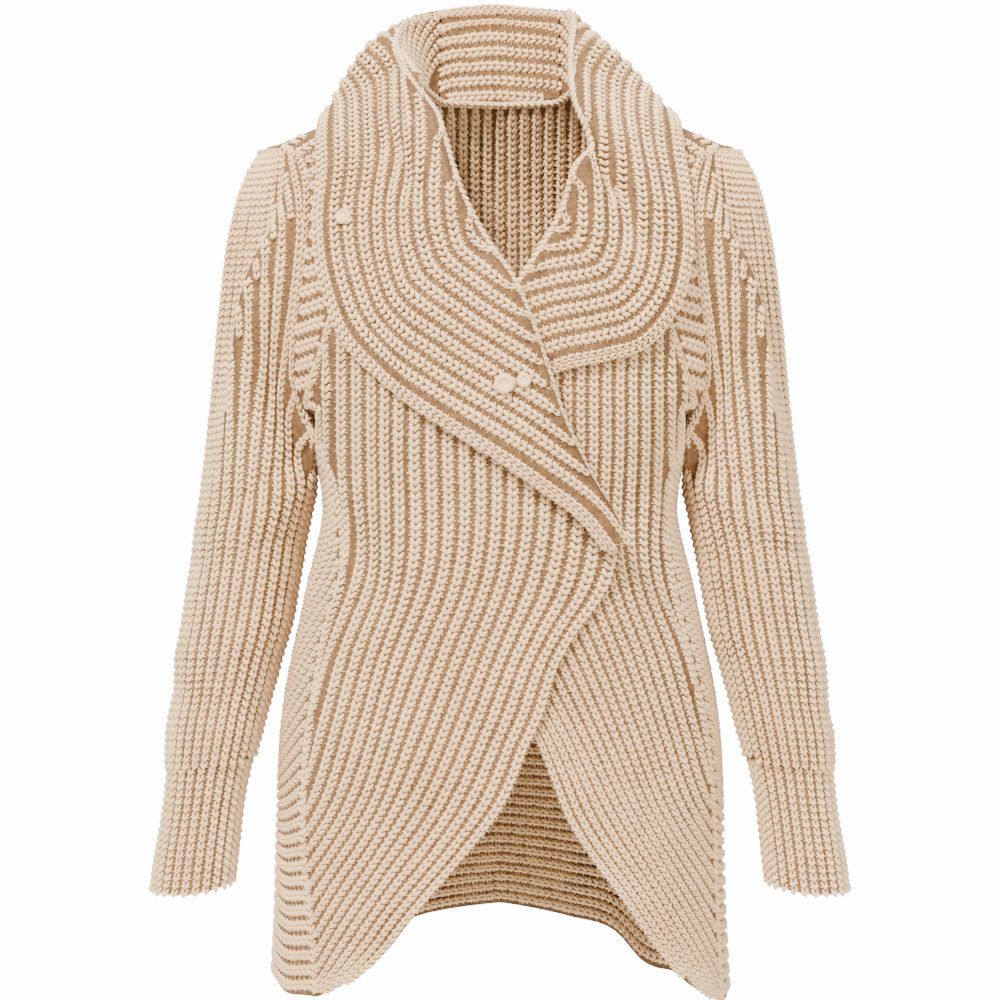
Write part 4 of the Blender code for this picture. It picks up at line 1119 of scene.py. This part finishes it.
for side, word in ((-1, "right"), (1, "left")):
    middle = sleeveGrid(side, 54, 16, 18)
    normal = gridNormals(middle, closed=True)
    if np.sum(normal * (middle - middle.mean(axis=1, keepdims=True))) < 0:
        normal = -normal
    face = middle - normal * wall / 2
    ribs = sleeveRibs(side, face, normal)
    back = face[0] - face[1]
    start = face[0] + back / np.linalg.norm(back, axis=1, keepdims=True) * 0.007 - normal[0] * 0.0030
    finishPiece("sleeve_" + word, np.concatenate([start[None], face]),
                np.concatenate([normal[:1], normal]), ribs, closed=True)
    heights = np.linspace(cuffSections[0, 0] - seamGap, cuffSections[-1, 0], 12)
    middle = np.stack([sleeveRing(side, cuffSections, h, 48) for h in heights])
    normal = gridNormals(middle, closed=True)
    if np.sum(normal * (middle - middle.mean(axis=1, keepdims=True))) < 0:
        normal = -normal
    finishPiece("cuff_" + word, middle - normal * wall / 2, normal,
                tubeRibs(middle - normal * wall / 2, normal, 24), closed=True)
print("sleeves and cuffs")

rightRows, leftRows = len(rightCollar) - 1, len(leftCollar) - 1
fineAcross = 29
lapelGrids = {
    "lapel_right": collarGrid(-1, np.linspace(1 / rightRows + joinGap, 1, 90), fineAcross),
    "lapel_left": collarGrid(1, np.linspace(1 / leftRows + joinGap, 1, 90), fineAcross),
}
behindRight = collarGrid(-1, np.linspace(1 / rightRows - joinGap, 0, 12), fineAcross)
behindLeft = collarGrid(1, np.linspace(0, 1 / leftRows - joinGap, 12), fineAcross)
lapelGrids["collar_back"] = np.concatenate([behindRight, behindLeft[1:]])
for name, middle in lapelGrids.items():
    normal = gridNormals(middle)
    facing = outward(middle[:, 12:])[1]
    if np.sum(normal[:, 12:] * facing) < 0:
        normal = -normal
    lapelGrids[name] = (middle, normal)
    finishPiece(name, middle - normal * wall / 2, normal,
                collarRibs(middle - normal * wall / 2, normal, 0.0126, 3))
print("collar")

# Small yarn buttons on the right lapel: name, x, height, outer radius
buttons = [
    ("button_shoulder", -0.1246, -0.0763, 0.0064),
    ("button_chest", 0.0033, -0.2107, 0.0080),
    ("button_spare", 0.0189, -0.2080, 0.0056),
]


# A button: a ring of yarn wound round and round, closed by a low woven middle
def makeButton(name, x, height, radius):
    middle, normal = lapelGrids["lapel_right"]
    grid = middle + normal * wall / 2
    rows, columns = grid.shape[:2]
    faces = [
        (r * columns + c, r * columns + c + 1, (r + 1) * columns + c + 1, (r + 1) * columns + c)
        for r in range(rows - 1) for c in range(columns - 1)
    ]
    lapelTree = BVHTree.FromPolygons([Vector(p) for p in grid.reshape(-1, 3)], faces)
    place, axis = lapelTree.ray_cast(Vector((x, -1, height)), Vector((0, 1, 0)))[:2]
    if axis.y > 0:
        axis = -axis
    turn = axis.to_track_quat("Z", "Y").to_matrix().to_4x4()
    turn = Matrix.Translation(place + axis * 0.0012) @ turn
    ring, around, tube = 40, 8, radius * 0.30
    points, faces = [], []
    for i in range(ring):
        a = 2 * math.pi * i / ring
        swell = 1 + 0.10 * math.cos(a * 10)
        for k in range(around):
            b = 2 * math.pi * k / around
            r = radius * 0.70 + tube * swell * math.cos(b)
            points.append((r * math.cos(a), r * math.sin(a), tube * 0.9 * swell * math.sin(b)))
    for i in range(ring):
        for k in range(around):
            j, m = (i + 1) % ring, (k + 1) % around
            faces.append((i * around + k, j * around + k, j * around + m, i * around + m))
    start = len(points)
    for level, r in ((-0.0012, 0.62), (0.0002, 0.60), (0.0006, 0.30)):
        points += [
            (radius * r * math.cos(2 * math.pi * i / 20), radius * r * math.sin(2 * math.pi * i / 20), level)
            for i in range(20)
        ]
    for band in range(2):
        for i in range(20):
            j = (i + 1) % 20
            a, b = start + band * 20 + i, start + band * 20 + j
            faces.append((a, b, b + 20, a + 20))
    faces.append(tuple(start + i for i in reversed(range(20))))
    faces.append(tuple(start + 40 + i for i in range(20)))
    made = woolMesh(name + "_yarn", faces, [turn @ Vector(p) for p in points])
    made.data.materials.append(buttonWool)
    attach(made, "root")
    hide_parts(name)


for name, x, height, radius in buttons:
    makeButton(name, x, height, radius)
bpy.data.objects.remove(stitch)
print("buttons")

# Camera, floor and soft studio light
studio = {"distance": 3.3, "middle": -0.302, "view": 0.82, "floor": -0.85, "sky": 1.0, "backdrop": 14.0}
camera = bpy.data.objects.new("camera", bpy.data.cameras.new("camera"))
camera.data.sensor_width = 36
camera.data.lens = 36 * studio["distance"] / studio["view"]
camera.location = (0, -studio["distance"], studio["middle"])
camera.rotation_euler = (math.pi / 2, 0, 0)
bpy.context.scene.collection.objects.link(camera)
bpy.context.scene.camera = camera

floorMesh = bpy.data.meshes.new("floor")
floorMesh.from_pydata([(-0.9, -0.9, 0), (0.9, -0.9, 0), (0.9, 0.9, 0), (-0.9, 0.9, 0)], [], [(0, 1, 2, 3)])
floor = bpy.data.objects.new("floor", floorMesh)
floor.location = (0, 0, studio["floor"])
bpy.context.scene.collection.objects.link(floor)
floorWhite = bpy.data.materials.new("floorWhite")
floorWhite.use_nodes = True
floorWhite.node_tree.nodes["Principled BSDF"].inputs["Base Color"].default_value = (0.9, 0.9, 0.9, 1)
floorWhite.node_tree.nodes["Principled BSDF"].inputs["Roughness"].default_value = 0.9
floorMesh.materials.append(floorWhite)

world = bpy.data.worlds.new("studio")
world.use_nodes = True
sky = world.node_tree.nodes["Background"]
sky.inputs["Color"].default_value = (1.0, 1.0, 1.0, 1)
rays = Wire(world.node_tree, addNode(world.node_tree, "ShaderNodeLightPath", {}, {}).outputs["Is Camera Ray"])
seen = rays * (studio["backdrop"] - studio["sky"]) + studio["sky"]
world.node_tree.links.new(seen.socket, sky.inputs["Strength"])
bpy.context.scene.world = world
lamps = [
    ("keyLight", (-1.1, -2.2, 2.1), 0.7, 320),
    ("fillLight", (1.9, -2.0, 0.9), 1.2, 80),
    ("topLight", (0.0, 0.9, 2.4), 1.2, 60),
]
for name, place, size, power in lamps:
    lamp = bpy.data.lights.new(name, "AREA")
    lamp.size, lamp.energy = size, power
    light = bpy.data.objects.new(name, lamp)
    light.location = place
    light.rotation_euler = (Vector((0, 0, -0.3)) - Vector(place)).to_track_quat("-Z", "Y").to_euler()
    bpy.context.scene.collection.objects.link(light)
